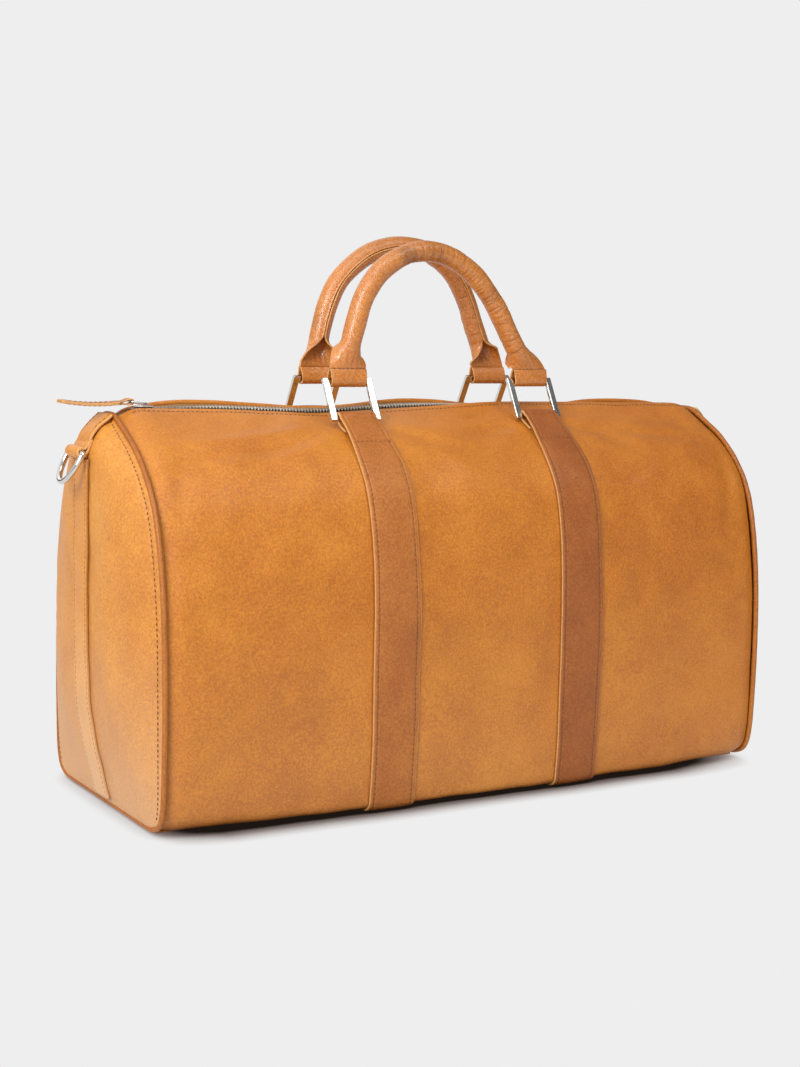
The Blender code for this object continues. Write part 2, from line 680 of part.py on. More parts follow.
clear_scene()
PARTS = new_collection("weekender_bag")
CUTTERS = new_collection("cutters")
LEATHER_TAN = new_material("tan_leather", (0.58, 0.26, 0.075), 0.5, 0.0)
LINING_FABRIC = new_material("lining_fabric", (0.16, 0.13, 0.11), 0.9, 0.0)
TAPE_FABRIC = new_material("zip_tape_fabric", (0.33, 0.19, 0.09), 0.85, 0.0)
BOARD_GREY = new_material("base_board_fibre", (0.20, 0.19, 0.18), 0.8, 0.0)
CORE_CORD = new_material("handle_core_cord", (0.62, 0.57, 0.48), 0.9, 0.0)
METAL_POLISHED = new_material("polished_nickel", (0.72, 0.71, 0.69), 0.18, 1.0)
METAL_ZIP = new_material("zip_metal", (0.46, 0.41, 0.35), 0.35, 1.0)
build_bag()
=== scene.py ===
"""Looks of the leather weekender bag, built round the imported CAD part.

Frame: X runs along the bag, -Y is the front, Z is up. Lengths are metres and angles are degrees.
Every surface is a grid of points laid on the same sections as the CAD's shell, then given thickness.
"""
import json
import math

import bmesh
import bpy
import numpy as np
from mathutils import Matrix, Vector


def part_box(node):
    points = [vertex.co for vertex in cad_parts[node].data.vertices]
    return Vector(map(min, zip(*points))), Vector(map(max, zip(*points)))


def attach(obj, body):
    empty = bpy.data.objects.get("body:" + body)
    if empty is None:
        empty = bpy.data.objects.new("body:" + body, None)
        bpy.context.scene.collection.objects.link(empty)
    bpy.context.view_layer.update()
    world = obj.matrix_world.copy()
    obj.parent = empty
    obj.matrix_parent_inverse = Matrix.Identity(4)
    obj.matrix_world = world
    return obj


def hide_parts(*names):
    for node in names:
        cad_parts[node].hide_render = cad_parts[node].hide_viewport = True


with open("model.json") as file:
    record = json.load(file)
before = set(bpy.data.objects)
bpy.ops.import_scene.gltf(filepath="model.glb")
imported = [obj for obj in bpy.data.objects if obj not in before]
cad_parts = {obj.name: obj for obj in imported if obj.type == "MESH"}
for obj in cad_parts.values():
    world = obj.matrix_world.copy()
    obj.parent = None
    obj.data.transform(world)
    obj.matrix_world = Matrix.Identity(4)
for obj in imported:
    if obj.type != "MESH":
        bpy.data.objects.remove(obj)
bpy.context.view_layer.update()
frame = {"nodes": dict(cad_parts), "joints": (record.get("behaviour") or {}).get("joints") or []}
JOINTS = {joint["name"]: joint for joint in frame["joints"]}
SIDES = {"left": -1, "right": 1}
FACES = {"front": -1, "rear": 1}

# ---------------------------------------------------------------- sections of the shell
# Half sections (Y, Z) from the base seam to the zip, as in the CAD but with a squarer lower corner.
HALF_LENGTH = 0.250
PANEL_END = 0.2474
MID_SECTION = np.array([
    (0.0785, 0.0032), (0.0960, 0.0034), (0.0988, 0.0170), (0.0998, 0.0500), (0.1003, 0.0950),
    (0.0998, 0.1400), (0.0965, 0.1830), (0.0890, 0.2170), (0.0745, 0.2400), (0.0550, 0.2550),
    (0.0340, 0.2655), (0.0160, 0.2740), (0.0070, 0.2775)])
END_SECTION = np.array([
    (0.0785, 0.0032), (0.0905, 0.0085), (0.0960, 0.0220), (0.0978, 0.0500), (0.0982, 0.0950),
    (0.0962, 0.1400), (0.0905, 0.1800), (0.0812, 0.2120), (0.0670, 0.2335), (0.0480, 0.2510),
    (0.0290, 0.2620), (0.0140, 0.2695), (0.0070, 0.2725)])
TOP = len(MID_SECTION) - 1
TUCK = 0.0023                       # how far a panel's lowest edge hangs below its section
RIDGE_STRAIGHT = 0.226
PIPING_X = 0.2496
PIPING_RADIUS = 0.0019
END_RIM_X = 0.2508
END_RIM_INSET = 0.0014
END_BULGE = 0.0177
END_RISE = {"bottom": 0.110, "top": 0.030}
END_SIDE_RISE = 0.75
RIM_STITCH = 0.0034                 # stitch row on an end panel, from the panel's edge

# ---------------------------------------------------------------- relief of the soft leather
LEATHER = 0.0014                    # thickness of a panel as seen at its edges
ROLL_IN = {"left": (0.0150, 0.0034), "right": (0.0110, 0.0019)}   # run and depth of the turn into the piping
WAVES = [(0.110, 0.0007), (0.046, 0.00028), (0.021, 0.00010)]     # wavelength, height
LIP_LIFT = {"front": -0.0008, "rear": 0.0014}     # rise of the panel's edge over the CAD's
LIP_ENDS = (0.205, 0.240)           # where that rise dies out toward the ends
LIP_BACK = {"front": 0.0, "rear": 0.0022}         # and how much further it stops from the teeth
UNDER_TAPE = 10.6                   # where the tape starts under the panel
LIP_RADIUS = {"front": 0.0011, "rear": 0.0019}
LIP_TAIL = 0.0035                   # run of the turned edge back under the panel
LIP_STITCH = 11.43                  # the row along the zip, counted in points of the section
ZIP_FOLD = (9.2, 11.7)              # where the panel starts and ends to follow the zip's waves
RIDGE_WAVE = {                      # how the zipped edges rise and dip along the bag, as (X, lift)
    "front": [(-0.247, -0.0010), (-0.205, -0.0004), (-0.170, -0.0012), (-0.135, -0.0030), (-0.095, -0.0048),
              (-0.060, -0.0036), (-0.025, -0.0018), (0.010, 0.0004), (0.045, 0.0020), (0.134, 0.0018),
              (0.200, 0.0008), (0.247, -0.0012)],
    "rear": [(-0.247, -0.0020), (-0.205, 0.0016), (-0.170, 0.0018), (-0.135, -0.0006), (-0.095, -0.0030),
             (-0.060, -0.0010), (-0.020, 0.0022), (0.015, 0.0012), (0.045, -0.0016), (0.120, -0.0026),
             (0.155, 0.0002), (0.190, 0.0002), (0.247, -0.0030)]}
ZIP_WAVE = [                        # and the teeth
    (-0.247, 0.0), (-0.205, 0.0), (-0.170, 0.0002), (-0.135, -0.0010), (-0.095, -0.0024), (-0.060, -0.0012),
    (-0.020, 0.0006), (0.020, 0.0008), (0.060, 0.0), (0.120, 0.0), (0.247, 0.0)]
ZIP_TILT = [                        # tilt of the teeth toward the front, as (X, degrees)
    (-0.247, 0.0), (-0.205, 0.0), (-0.170, 16.0), (-0.135, 22.0), (-0.095, 25.0), (-0.060, 22.0),
    (-0.020, 18.0), (0.020, 8.0), (0.060, 0.0), (0.120, 0.0), (0.247, 0.0)]
CREASES = {                         # soft creases as (X, up the panel, X, up the panel, depth, half width)
    "front": [(-0.247, 0.270, -0.110, 0.291, 0.0020, 0.0065), (-0.190, 0.262, -0.105, 0.300, 0.0012, 0.0070),
              (-0.055, 0.300, -0.005, 0.275, 0.0013, 0.0070), (0.005, 0.290, 0.060, 0.305, 0.0014, 0.0060),
              (0.100, 0.305, 0.155, 0.278, 0.0016, 0.0070), (0.125, 0.300, 0.215, 0.286, 0.0015, 0.0065),
              (-0.238, 0.215, -0.224, 0.270, 0.0012, 0.0070), (0.224, 0.205, 0.236, 0.270, 0.0009, 0.0070),
              (0.170, 0.100, 0.235, 0.085, 0.0008, 0.0120), (-0.230, 0.150, -0.190, 0.175, 0.0007, 0.0110)],
    "rear": [(-0.245, 0.275, -0.130, 0.292, 0.0016, 0.0065), (-0.030, 0.285, 0.030, 0.300, 0.0012, 0.0065),
             (0.100, 0.303, 0.160, 0.280, 0.0014, 0.0065), (0.150, 0.090, 0.225, 0.120, 0.0008, 0.0120),
             (-0.225, 0.120, -0.170, 0.100, 0.0007, 0.0110), (0.222, 0.220, 0.236, 0.270, 0.0009, 0.0070)]}

# ---------------------------------------------------------------- straps, rings and handles
STRAP = 0.0018                      # thickness of strap leather
STRAP_LIFT = 0.0005                 # room under a strap
ON_FLOOR = 0.0001                   # least height over the floor of a strap pressed flat under the bag
STRAP_STEP = 0.0009                 # along a strap that loops round a bar
THREAD_SINK = 0.00032               # how far a stitch lies below the top of its strap
BAND_X = 0.0785
BAND_WIDTH = 0.036
BAND_SEAM = 0.0031                  # stitch row, from the band's edge
BAND_SEWN = (0.05, 8.72, 8.78)      # where the side rows start and stop, and the cross row
BAND_LEAN = (8.2, 9.7)              # where a slack band leans over to its ring
BAND_LIFT = [(7.6, 0.0014), (8.3, 0.0017), (9.0, 0.0034), (9.5, 0.0057), (9.8, 0.0078)]
RING_SAG = {("rear", "right"): -0.0080}     # how far a slack band has let its ring slip along the bag
RING_SIZE = (0.040, 0.033, 0.003)
RING_BARS = (0.005, 0.004)          # side bars and end bars
LOOP_WIDTH = 0.029
LOOP_RADIUS = 0.0037
STRIP_WIDTH = 0.025
STRIP_SEAM = 0.0026
STRIP_LIFT = 0.0004
STRIP_Z = (0.0080, 0.2430)
TAB_START = (0.0016, 0.2727)        # over the end panel's rim, and height
TAB_DROP = [(0.2700, 0.0019), (0.2665, 0.0026), (0.2620, 0.0030), (0.2575, 0.0027), (0.2542, 0.0019)]
TAB_SEWN = 0.0135
TAB_LOOP_WIDTH = 0.022
TAB_LOOP_RADIUS = 0.0034
D_RING = {"wire": 0.0020, "half_width": 0.0135, "height": 0.0225, "tilt": 28.0}
HANDLE_ARCH = {                     # middle of each handle from its left flat end to its right one, as (X, Z)
    "front": [(-0.0785, 0.3040), (-0.0770, 0.3170), (-0.0722, 0.3370), (-0.0645, 0.3585), (-0.0520, 0.3745),
              (-0.0345, 0.3852), (-0.0150, 0.3893), (0.0050, 0.3858), (0.0225, 0.3762), (0.0375, 0.3625),
              (0.0500, 0.3460), (0.0605, 0.3280), (0.0700, 0.3140), (0.0785, 0.3040)],
    "rear": [(-0.0785, 0.3040), (-0.0782, 0.3160), (-0.0765, 0.3310), (-0.0715, 0.3490), (-0.0640, 0.3640),
             (-0.0515, 0.3775), (-0.0365, 0.3875), (-0.0205, 0.3925), (-0.0040, 0.3935), (0.0120, 0.3905),
             (0.0285, 0.3820), (0.0410, 0.3690), (0.0502, 0.3520), (0.0570, 0.3345), (0.0643, 0.3172),
             (0.0705, 0.3040)]}
HANDLE_RADIUS = 0.00685             # to the middle of the leather
HANDLE_STEP = 0.0005
HANDLE_LEATHER = 0.0014
HANDLE_SEED = {"front": 71, "rear": 83}
FLARE_RUN = 0.024                   # length over which the tube opens into its flat end
FLAT_SWEEP = 0.55                   # radians of arc that the leather still keeps at its flat end
FLAT_OUT = 0.0016                   # how far the flat end stands in front of the bars' axis
CORE_RADIUS = 0.0054
CORE_START = 0.021                  # from the handle's flat end
SEAM_GAP = 0.985                    # share of the circle that the leather covers
STITCH = {"pitch": 0.0036, "length": 0.0022, "width": 0.00075, "height": 0.00060, "slant": 0.14}

# ---------------------------------------------------------------- zip
TEETH_Z = 0.2758
ZIP_HALF_LENGTH = 0.231
TOOTH_PITCH = 0.0025
TOOTH = (0.00120, 0.0036, 0.0021)
TAPE = 0.0006
TAPE_EDGE_Y = 0.0030
ZIP_CORD = {"y": 0.0032, "height": -0.0011, "radius": 0.0008}
SLIDER = {"upper": 0.0013, "lower": -0.0023, "plate": 0.0010, "crown": 0.0008}     # undersides, thicknesses
PULL = {"width": 0.013, "neck": 0.0060, "ply": 0.00118, "eye": 0.00172, "seam": 0.0019}
PULL_DROOP = np.array([(0.0, 0.0), (-0.008, -0.0008), (-0.022, -0.0015), (-0.036, -0.0010), (-0.050, 0.0007)])
LINK_HALF_WIDTH = 0.0044
LINK_WIRE = 0.0008

# ---------------------------------------------------------------- inside and underneath
LINING = {"half_length": 0.2448, "inset": 0.0042, "floor": 0.0064, "cloth": 0.0006}
BASE_DIP = 0.0008                   # how far the base panel's edges turn up
BASE_SEAM = 0.0045

# ---------------------------------------------------------------- studio
CAMERA = {"azimuth": -30.837, "elevation": 7.240, "roll": 1.358, "lens": 60.80,
          "place": (-0.7043, -1.1494, 0.3506)}
BACKDROP = 0.855                    # grey of the floor and the background
FLOOR_Z = -0.0002
LIGHTS = [("key", (-1.55, -1.10, 1.15), (0.0, 0.0, 0.15), 1.0, 32.5),     # place, aim, size, power
          ("top", (-0.35, -0.35, 1.30), (-0.1, 0.0, 0.2), 0.6, 2.2)]
ROOM_PATCHES = [((-0.49, 0.87, -0.03), 0.28, 0.55, 0.10),      # dark board behind on the left
                ((0.30, -0.56, 0.72), 0.215, 0.235, 4.5)]     # bright box in front, up on the right


# ---------------------------------------------------------------- curves and fields
def curve(points, where):
    """Smooth curve through the points, with `where` counted in points."""
    points = np.asarray(points, float)
    where = np.asarray(where, float)
    last = len(points) - 1
    start = np.clip(np.floor(where).astype(int), 0, last - 1)
    t = (where - start)[..., None]
    held = np.vstack([2 * points[0] - points[1], points, 2 * points[-1] - points[-2]])
    p0, p1, p2, p3 = held[start], held[start + 1], held[start + 2], held[start + 3]
    return p1 + 0.5 * t * ((p2 - p0) + t * ((2 * p0 - 5 * p1 + 4 * p2 - p3) + t * (3 * (p1 - p2) + p3 - p0)))


def smooth(value, low=0.0, high=1.0):
    """0 below low, 1 above high, rounded between."""
    t = np.clip((value - low) / (high - low), 0, 1)
    return t * t * (3 - 2 * t)


def bell(distance, width):
    """1 at no distance, falling off over the width."""
    return np.exp(-(distance / width) ** 2)


def rise(distance, over):
    """0 at a rim and 1 from `over` inward, rounded."""
    return 1 - (1 - np.clip(distance / over, 0, 1)) ** 2


def along_x(table, x):
    """Value at x of a smooth curve through (X, value) rows."""
    rows = np.array(table)
    where = np.interp(x, rows[:, 0], np.arange(len(rows)))
    return curve(rows[:, 1:], where)[..., 0]


def ripple(u, v, wavelength, seed, count=8):
    """A smooth field of about unit height made of waves in several directions."""
    rng = np.random.default_rng(seed)
    total = np.zeros(np.broadcast(u, v).shape)
    for angle, phase, stretch in zip(rng.uniform(0, math.pi, count), rng.uniform(0, 2 * math.pi, count),
                                     rng.uniform(0.75, 1.5, count)):
        k = 2 * math.pi / (wavelength * stretch)
        total += np.sin(k * (u * math.cos(angle) + v * math.sin(angle)) + phase)
    return total * math.sqrt(2.0 / count) * 0.7


def unit(vectors):
    return vectors / np.linalg.norm(vectors, axis=-1, keepdims=True)


def points_of(x, y, z):
    """Points from X, Y and Z, each a number, a row or a grid."""
    return np.stack(np.broadcast_arrays(x, y, z), axis=-1)


def run_along(points):
    """Distance along a line of points, from its start."""
    steps = np.linalg.norm(np.diff(points, axis=0), axis=1)
    return np.concatenate([[0.0], np.cumsum(steps)])


def read_along(rows, run, marks):
    """Rows of numbers known along a line, read at the marks."""
    return np.stack([np.interp(marks, run, column) for column in rows.T], axis=1)


def resample(points, step):
    """The same line with points about one step apart."""
    run = run_along(points)
    return read_along(points, run, np.linspace(0, run[-1], max(int(round(run[-1] / step)), 1) + 1))


def fine_curve(points, count):
    """A smooth curve through the points, as a line of `count` points."""
    return curve(points, np.linspace(0, len(points) - 1, count))


def relaxed(loop, rounds):
    """A closed line with its corners rounded off."""
    for _ in range(rounds):
        loop = (np.roll(loop, 1, 0) + 2 * loop + np.roll(loop, -1, 0)) / 4
    return loop


def arc(centre, radius, first, turn, steps):
    angles = np.radians(first + np.linspace(0, turn, steps + 1))
    return np.stack([centre[0] + radius * np.cos(angles), centre[1] + radius * np.sin(angles)], axis=1)


# ---------------------------------------------------------------- the shell's surface
def outline(x, where):
    """(Y, Z) of the half section at x, before relief."""
    body = np.clip(np.abs(x) / HALF_LENGTH, 0, 1) ** 3
    tuck = TUCK * (1 - smooth(where, 0.0, 0.9)) * (np.abs(x) < PANEL_END + 0.0001)
    past = np.clip((np.abs(x) - RIDGE_STRAIGHT) / (HALF_LENGTH - RIDGE_STRAIGHT), 0, 1) ** 2
    near_zip = np.clip((where - TOP + 3.0) / 2.0, 0, 1)
    weight = (body * (1 - near_zip) + past * near_zip)[..., None]
    section = curve(MID_SECTION, where) * (1 - weight) + curve(END_SECTION, where) * weight
    return section - tuck[..., None] * (0.0, 1.0)


SECTION_MARKS = np.linspace(0, TOP, 241)
SECTION_RUN = run_along(curve(MID_SECTION, SECTION_MARKS))


def relief(x, where, face):
    """How far the leather stands out from the plain section."""
    run = np.interp(where, SECTION_MARKS, SECTION_RUN)
    out = np.zeros_like(run)
    for k, (wavelength, height) in enumerate(WAVES):
        out += height * ripple(x, run, wavelength, 10 * k + (3 if face < 0 else 4))
    for x0, u0, x1, u1, depth, half_width in CREASES["front" if face < 0 else "rear"]:
        line = np.array([x1 - x0, u1 - u0])
        t = np.clip(((x - x0) * line[0] + (run - u0) * line[1]) / (line @ line), 0, 1)
        away = np.hypot(x - x0 - t * line[0], run - u0 - t * line[1])
        fade = np.sin(math.pi * np.clip(t, 0.02, 0.98)) ** 0.5
        out -= depth * fade * bell(away, half_width)
        out += 0.45 * depth * fade * bell(away - 1.9 * half_width, half_width)
    out *= smooth(where, 0.0, 1.6) * (1 - 0.6 * smooth(where, TOP - 1.2, TOP))
    for side_name, side in SIDES.items():
        run_in, depth = ROLL_IN[side_name]
        out = out - depth * smooth(side * x, PANEL_END - run_in, PANEL_END + 0.15 * run_in) ** 1.4
    return out


def shell(x, where, face, out=0.0):
    """Points on the shell's outer face, moved out along the section's normal."""
    x, where = np.broadcast_arrays(np.asarray(x, float), np.asarray(where, float))
    step = 0.02
    along = unit(outline(x, np.minimum(where + step, TOP)) - outline(x, np.maximum(where - step, 0)))
    normal = np.stack([along[..., 1], -along[..., 0]], axis=-1)
    yz = outline(x, where) + normal * (np.asarray(out) + relief(x, where, face))[..., None]
    name = "front" if face < 0 else "rear"
    lift = along_x(RIDGE_WAVE[name], x) + LIP_LIFT[name] * (1 - smooth(np.abs(x), *LIP_ENDS))
    y = yz[..., 0] + LIP_BACK[name] * smooth(where, UNDER_TAPE, TOP)
    return points_of(x, face * y, yz[..., 1] + lift * smooth(where, *ZIP_FOLD))


RIM = outline(np.full(49, HALF_LENGTH), np.linspace(0, TOP, 49))
RIM_SLOPE = np.gradient(RIM[:, 1]) / np.hypot(*np.gradient(RIM, axis=0).T)


def end_x(y, z, side=0):
    """Distance of an end panel's outer face from the middle of the bag, with relief if a side is given."""
    half_width = np.interp(z, RIM[:, 1], RIM[:, 0])
    from_side = half_width - np.abs(y)
    swell = rise(z - RIM[0, 1], END_RISE["bottom"]) * rise(RIM[-1, 1] - z, END_RISE["top"])
    x = END_RIM_X + END_BULGE * swell * rise(from_side, END_SIDE_RISE * half_width)
    if side:
        from_rim = from_side * np.interp(z, RIM[:, 1], RIM_SLOPE)
        x = END_RIM_X + (x - END_RIM_X) * smooth(from_rim, 0.0, 0.0060)
        inside = smooth(from_side, 0.004, 0.022) * smooth(z, 0.010, 0.035)
        x = x + inside * (0.0006 * ripple(y, z, 0.080, 31 + side) + 0.00022 * ripple(y, z, 0.030, 41 + side))
        fold = bell(np.abs(y) - 0.052 - 0.04 * (z - 0.12), 0.008) * smooth(z, 0.05, 0.16)
        x = x - 0.0009 * inside * fold * smooth(0.235 - z, 0.0, 0.05)
    return x


# ---------------------------------------------------------------- pieces
def add_object(name, data):
    obj = bpy.data.objects.new(name, data)
    bpy.context.scene.collection.objects.link(obj)
    return obj


def place(name, data, material, body, nodes=(), thickness=0.0, offset=-1.0, rim=False):
    """The object of a piece, riding on its body and standing for CAD nodes. A surface gets its thickness."""
    obj = add_object(name, data)
    data.materials.append(MATERIALS[material])
    if rim:
        data.materials.append(MATERIALS["edge"])
    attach(obj, body)
    if nodes:
        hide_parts(*nodes)
    if thickness:
        solid = obj.modifiers.new("thickness", "SOLIDIFY")
        solid.thickness = thickness
        solid.offset = offset
        solid.material_offset_rim = int(rim)
    return obj


def bevel(obj, width, segments):
    edge = obj.modifiers.new("edge", "BEVEL")
    edge.width = width
    edge.segments = segments
    edge.limit_method = "ANGLE"
    return edge


def grid_mesh(name, points, closed_across=False, closed_along=False, flip=False, marks=None):
    """A mesh through a grid of points (rows, columns, 3). marks maps an attribute's name to its values."""
    rows, columns = points.shape[:2]
    index = np.arange(rows * columns).reshape(rows, columns)
    if closed_along:
        index = np.vstack([index, index[:1]])
    if closed_across:
        index = np.hstack([index, index[:, :1]])
    corners = [index[:-1, :-1], index[:-1, 1:], index[1:, 1:], index[1:, :-1]]
    quads = np.stack(corners[::-1] if flip else corners, axis=-1).reshape(-1, 4)
    mesh = bpy.data.meshes.new(name)
    mesh.from_pydata(points.reshape(-1, 3).tolist(), [], quads.tolist())
    mesh.shade_smooth()
    for mark_name, values in (marks or {}).items():
        values = np.broadcast_to(values, (rows, columns)).astype(np.float32)
        mesh.attributes.new(mark_name, "FLOAT", "POINT").data.foreach_set("value", values.ravel())
    return mesh


def block_mesh(bm, name):
    mesh = bpy.data.meshes.new(name)
    bm.to_mesh(mesh)
    bm.free()
    return mesh


def pattern_of(bm):
    """Corners and faces of a small shape that is repeated."""
    corners = np.array([v.co for v in bm.verts])
    faces = [[v.index for v in face.verts] for face in bm.faces]
    bm.free()
    return corners, faces


def repeated_mesh(name, blocks, faces):
    """One mesh of many blocks of corners, each with the same faces."""
    count = len(blocks[0])
    polygons = [[k * count + i for i in face] for k in range(len(blocks)) for face in faces]
    mesh = bpy.data.meshes.new(name)
    mesh.from_pydata(np.concatenate(blocks).tolist(), [], polygons)
    return mesh


def normals_of(points):
    """Unit normals of a grid of points."""
    normal = np.cross(np.gradient(points, axis=0), np.gradient(points, axis=1))
    return normal / np.maximum(np.linalg.norm(normal, axis=-1, keepdims=True), 1e-12)


def row_facing(line, outward):
    """A row for stitches, with one direction outward."""
    return line, np.broadcast_to(np.asarray(outward, float), line.shape)


def row_on_shell(x, where, face, low, high):
    """A row for stitches at height low over the shell, facing the same row at height high."""
    line = shell(x, where, face, low)
    return line, shell(x, where, face, high) - line


def stitches(name, rows, body):
    """Thread along rows of (points, normals), as one piece of separate stitches."""
    bm = bmesh.new()
    bmesh.ops.create_uvsphere(bm, u_segments=8, v_segments=5, radius=0.5)
    ball, faces = pattern_of(bm)
    ball = ball * (STITCH["width"], STITCH["height"], STITCH["length"])
    blocks = []
    for points, normals in rows:
        run = run_along(points)
        marks = np.arange(STITCH["pitch"] / 2, run[-1], STITCH["pitch"])
        centres = read_along(points, run, marks)
        up = unit(read_along(normals, run, marks))
        along = unit(read_along(points, run, marks + 0.001) - read_along(points, run, marks - 0.001))
        along = unit(along + STITCH["slant"] * np.cross(up, along))
        turns = np.stack([np.cross(up, along), up, along], axis=1)
        blocks += [centre + ball @ turn for centre, turn in zip(centres, turns)]
    mesh = repeated_mesh(name, blocks, faces)
    mesh.shade_smooth()
    place(name, mesh, "thread", body)


def tube(name, points, radius, material, body, nodes=(), closed=False, around=20):
    """A round tube along a line of points; radius may vary along it."""
    points = np.asarray(points, float)
    ahead = unit(np.roll(points, -1, 0) - np.roll(points, 1, 0) if closed else np.gradient(points, axis=0))
    side = np.cross(ahead[0], (0.3, 0.2, 0.9))
    sides = []
    for direction in ahead:
        side = unit(side - direction * (side @ direction))
        sides.append(side)
    sides = np.array(sides)
    others = np.cross(ahead, sides)
    if closed:
        twist = math.atan2(sides[0] @ np.cross(ahead[0], sides[-1]), sides[0] @ sides[-1])
        turn = np.linspace(0, twist, len(points))[:, None]
        cos, sin = np.cos(turn), np.sin(turn)
        sides, others = sides * cos + others * sin, others * cos - sides * sin
    angles = np.linspace(0, 2 * math.pi, around, endpoint=False)[None, :, None]
    width = np.broadcast_to(radius, len(points))[:, None, None]
    ring = points[:, None] + width * (np.cos(angles) * sides[:, None] + np.sin(angles) * others[:, None])
    mesh = grid_mesh(name, ring, closed_across=True, closed_along=closed)
    if not closed:
        bm = bmesh.new()
        bm.from_mesh(mesh)
        bmesh.ops.holes_fill(bm, edges=[e for e in bm.edges if e.is_boundary])
        bm.to_mesh(mesh)
        bm.free()
    place(name, mesh, material, body, nodes)


# ---------------------------------------------------------------- materials
def wire(tree, node, inputs):
    """Set a node's inputs to values, or link them to sockets."""
    for key, value in inputs.items():
        if isinstance(value, bpy.types.NodeSocket):
            tree.links.new(value, node.inputs[key])
        else:
            node.inputs[key].default_value = value


def shader_node(tree, kind, inputs=None, **settings):
    node = tree.nodes.new(kind)
    for key, value in settings.items():
        setattr(node, key, value)
    wire(tree, node, inputs or {})
    return node


def blank_material(name, roughness, metallic=0.0):
    material = bpy.data.materials.new(name)
    material.use_nodes = True
    tree = material.node_tree
    shader = tree.nodes["Principled BSDF"]
    wire(tree, shader, {"Roughness": roughness, "Metallic": metallic})
    return material, tree, shader, shader_node(tree, "ShaderNodeTexCoord").outputs["Object"]


def noise(tree, where, scale, detail=3.0, roughness=0.55, distortion=0.0):
    inputs = {"Vector": where, "Scale": scale, "Detail": detail, "Roughness": roughness,
              "Distortion": distortion}
    return shader_node(tree, "ShaderNodeTexNoise", inputs).outputs["Fac"]


def ramp(tree, value, stops):
    """A colour ramp through (place, colour) stops; a single number is a grey."""
    node = shader_node(tree, "ShaderNodeValToRGB", {"Fac": value})
    elements = node.color_ramp.elements
    while len(elements) < len(stops):
        elements.new(0.5)
    for element, (at, colour) in zip(elements, stops):
        element.position = at
        element.color = (*colour, 1.0) if isinstance(colour, tuple) else (colour, colour, colour, 1.0)
    return node.outputs["Color"]


def spread(tree, value, low, high, to_low=0.0, to_high=1.0):
    """The value's range low..high stretched to another range."""
    inputs = {"Value": value, "From Min": low, "From Max": high, "To Min": to_low, "To Max": to_high}
    return shader_node(tree, "ShaderNodeMapRange", inputs, clamp=True).outputs["Result"]


def mix(tree, factor, first, second, blend="MIX"):
    inputs = {0: factor, 6: first, 7: second}
    inputs = {key: (*value, 1.0) if isinstance(value, tuple) else value for key, value in inputs.items()}
    return shader_node(tree, "ShaderNodeMix", inputs, data_type="RGBA", blend_type=blend).outputs[2]


def math_node(tree, operation, first, second=0.0):
    return shader_node(tree, "ShaderNodeMath", {0: first, 1: second}, operation=operation).outputs[0]


def total(tree, terms):
    """Sum of value times weight."""
    parts = [math_node(tree, "MULTIPLY", value, weight) for value, weight in terms]
    result = parts[0]
    for part in parts[1:]:
        result = math_node(tree, "ADD", result, part)
    return result


def bump(tree, height, strength, distance):
    inputs = {"Height": height, "Strength": strength, "Distance": distance}
    return shader_node(tree, "ShaderNodeBump", inputs).outputs[0]


def marked(tree, name, weight):
    """A mesh attribute times a weight."""
    fac = shader_node(tree, "ShaderNodeAttribute", attribute_name=name).outputs["Fac"]
    return math_node(tree, "MULTIPLY", fac, weight)


def dim(colour, share):
    return tuple(share * c for c in colour)


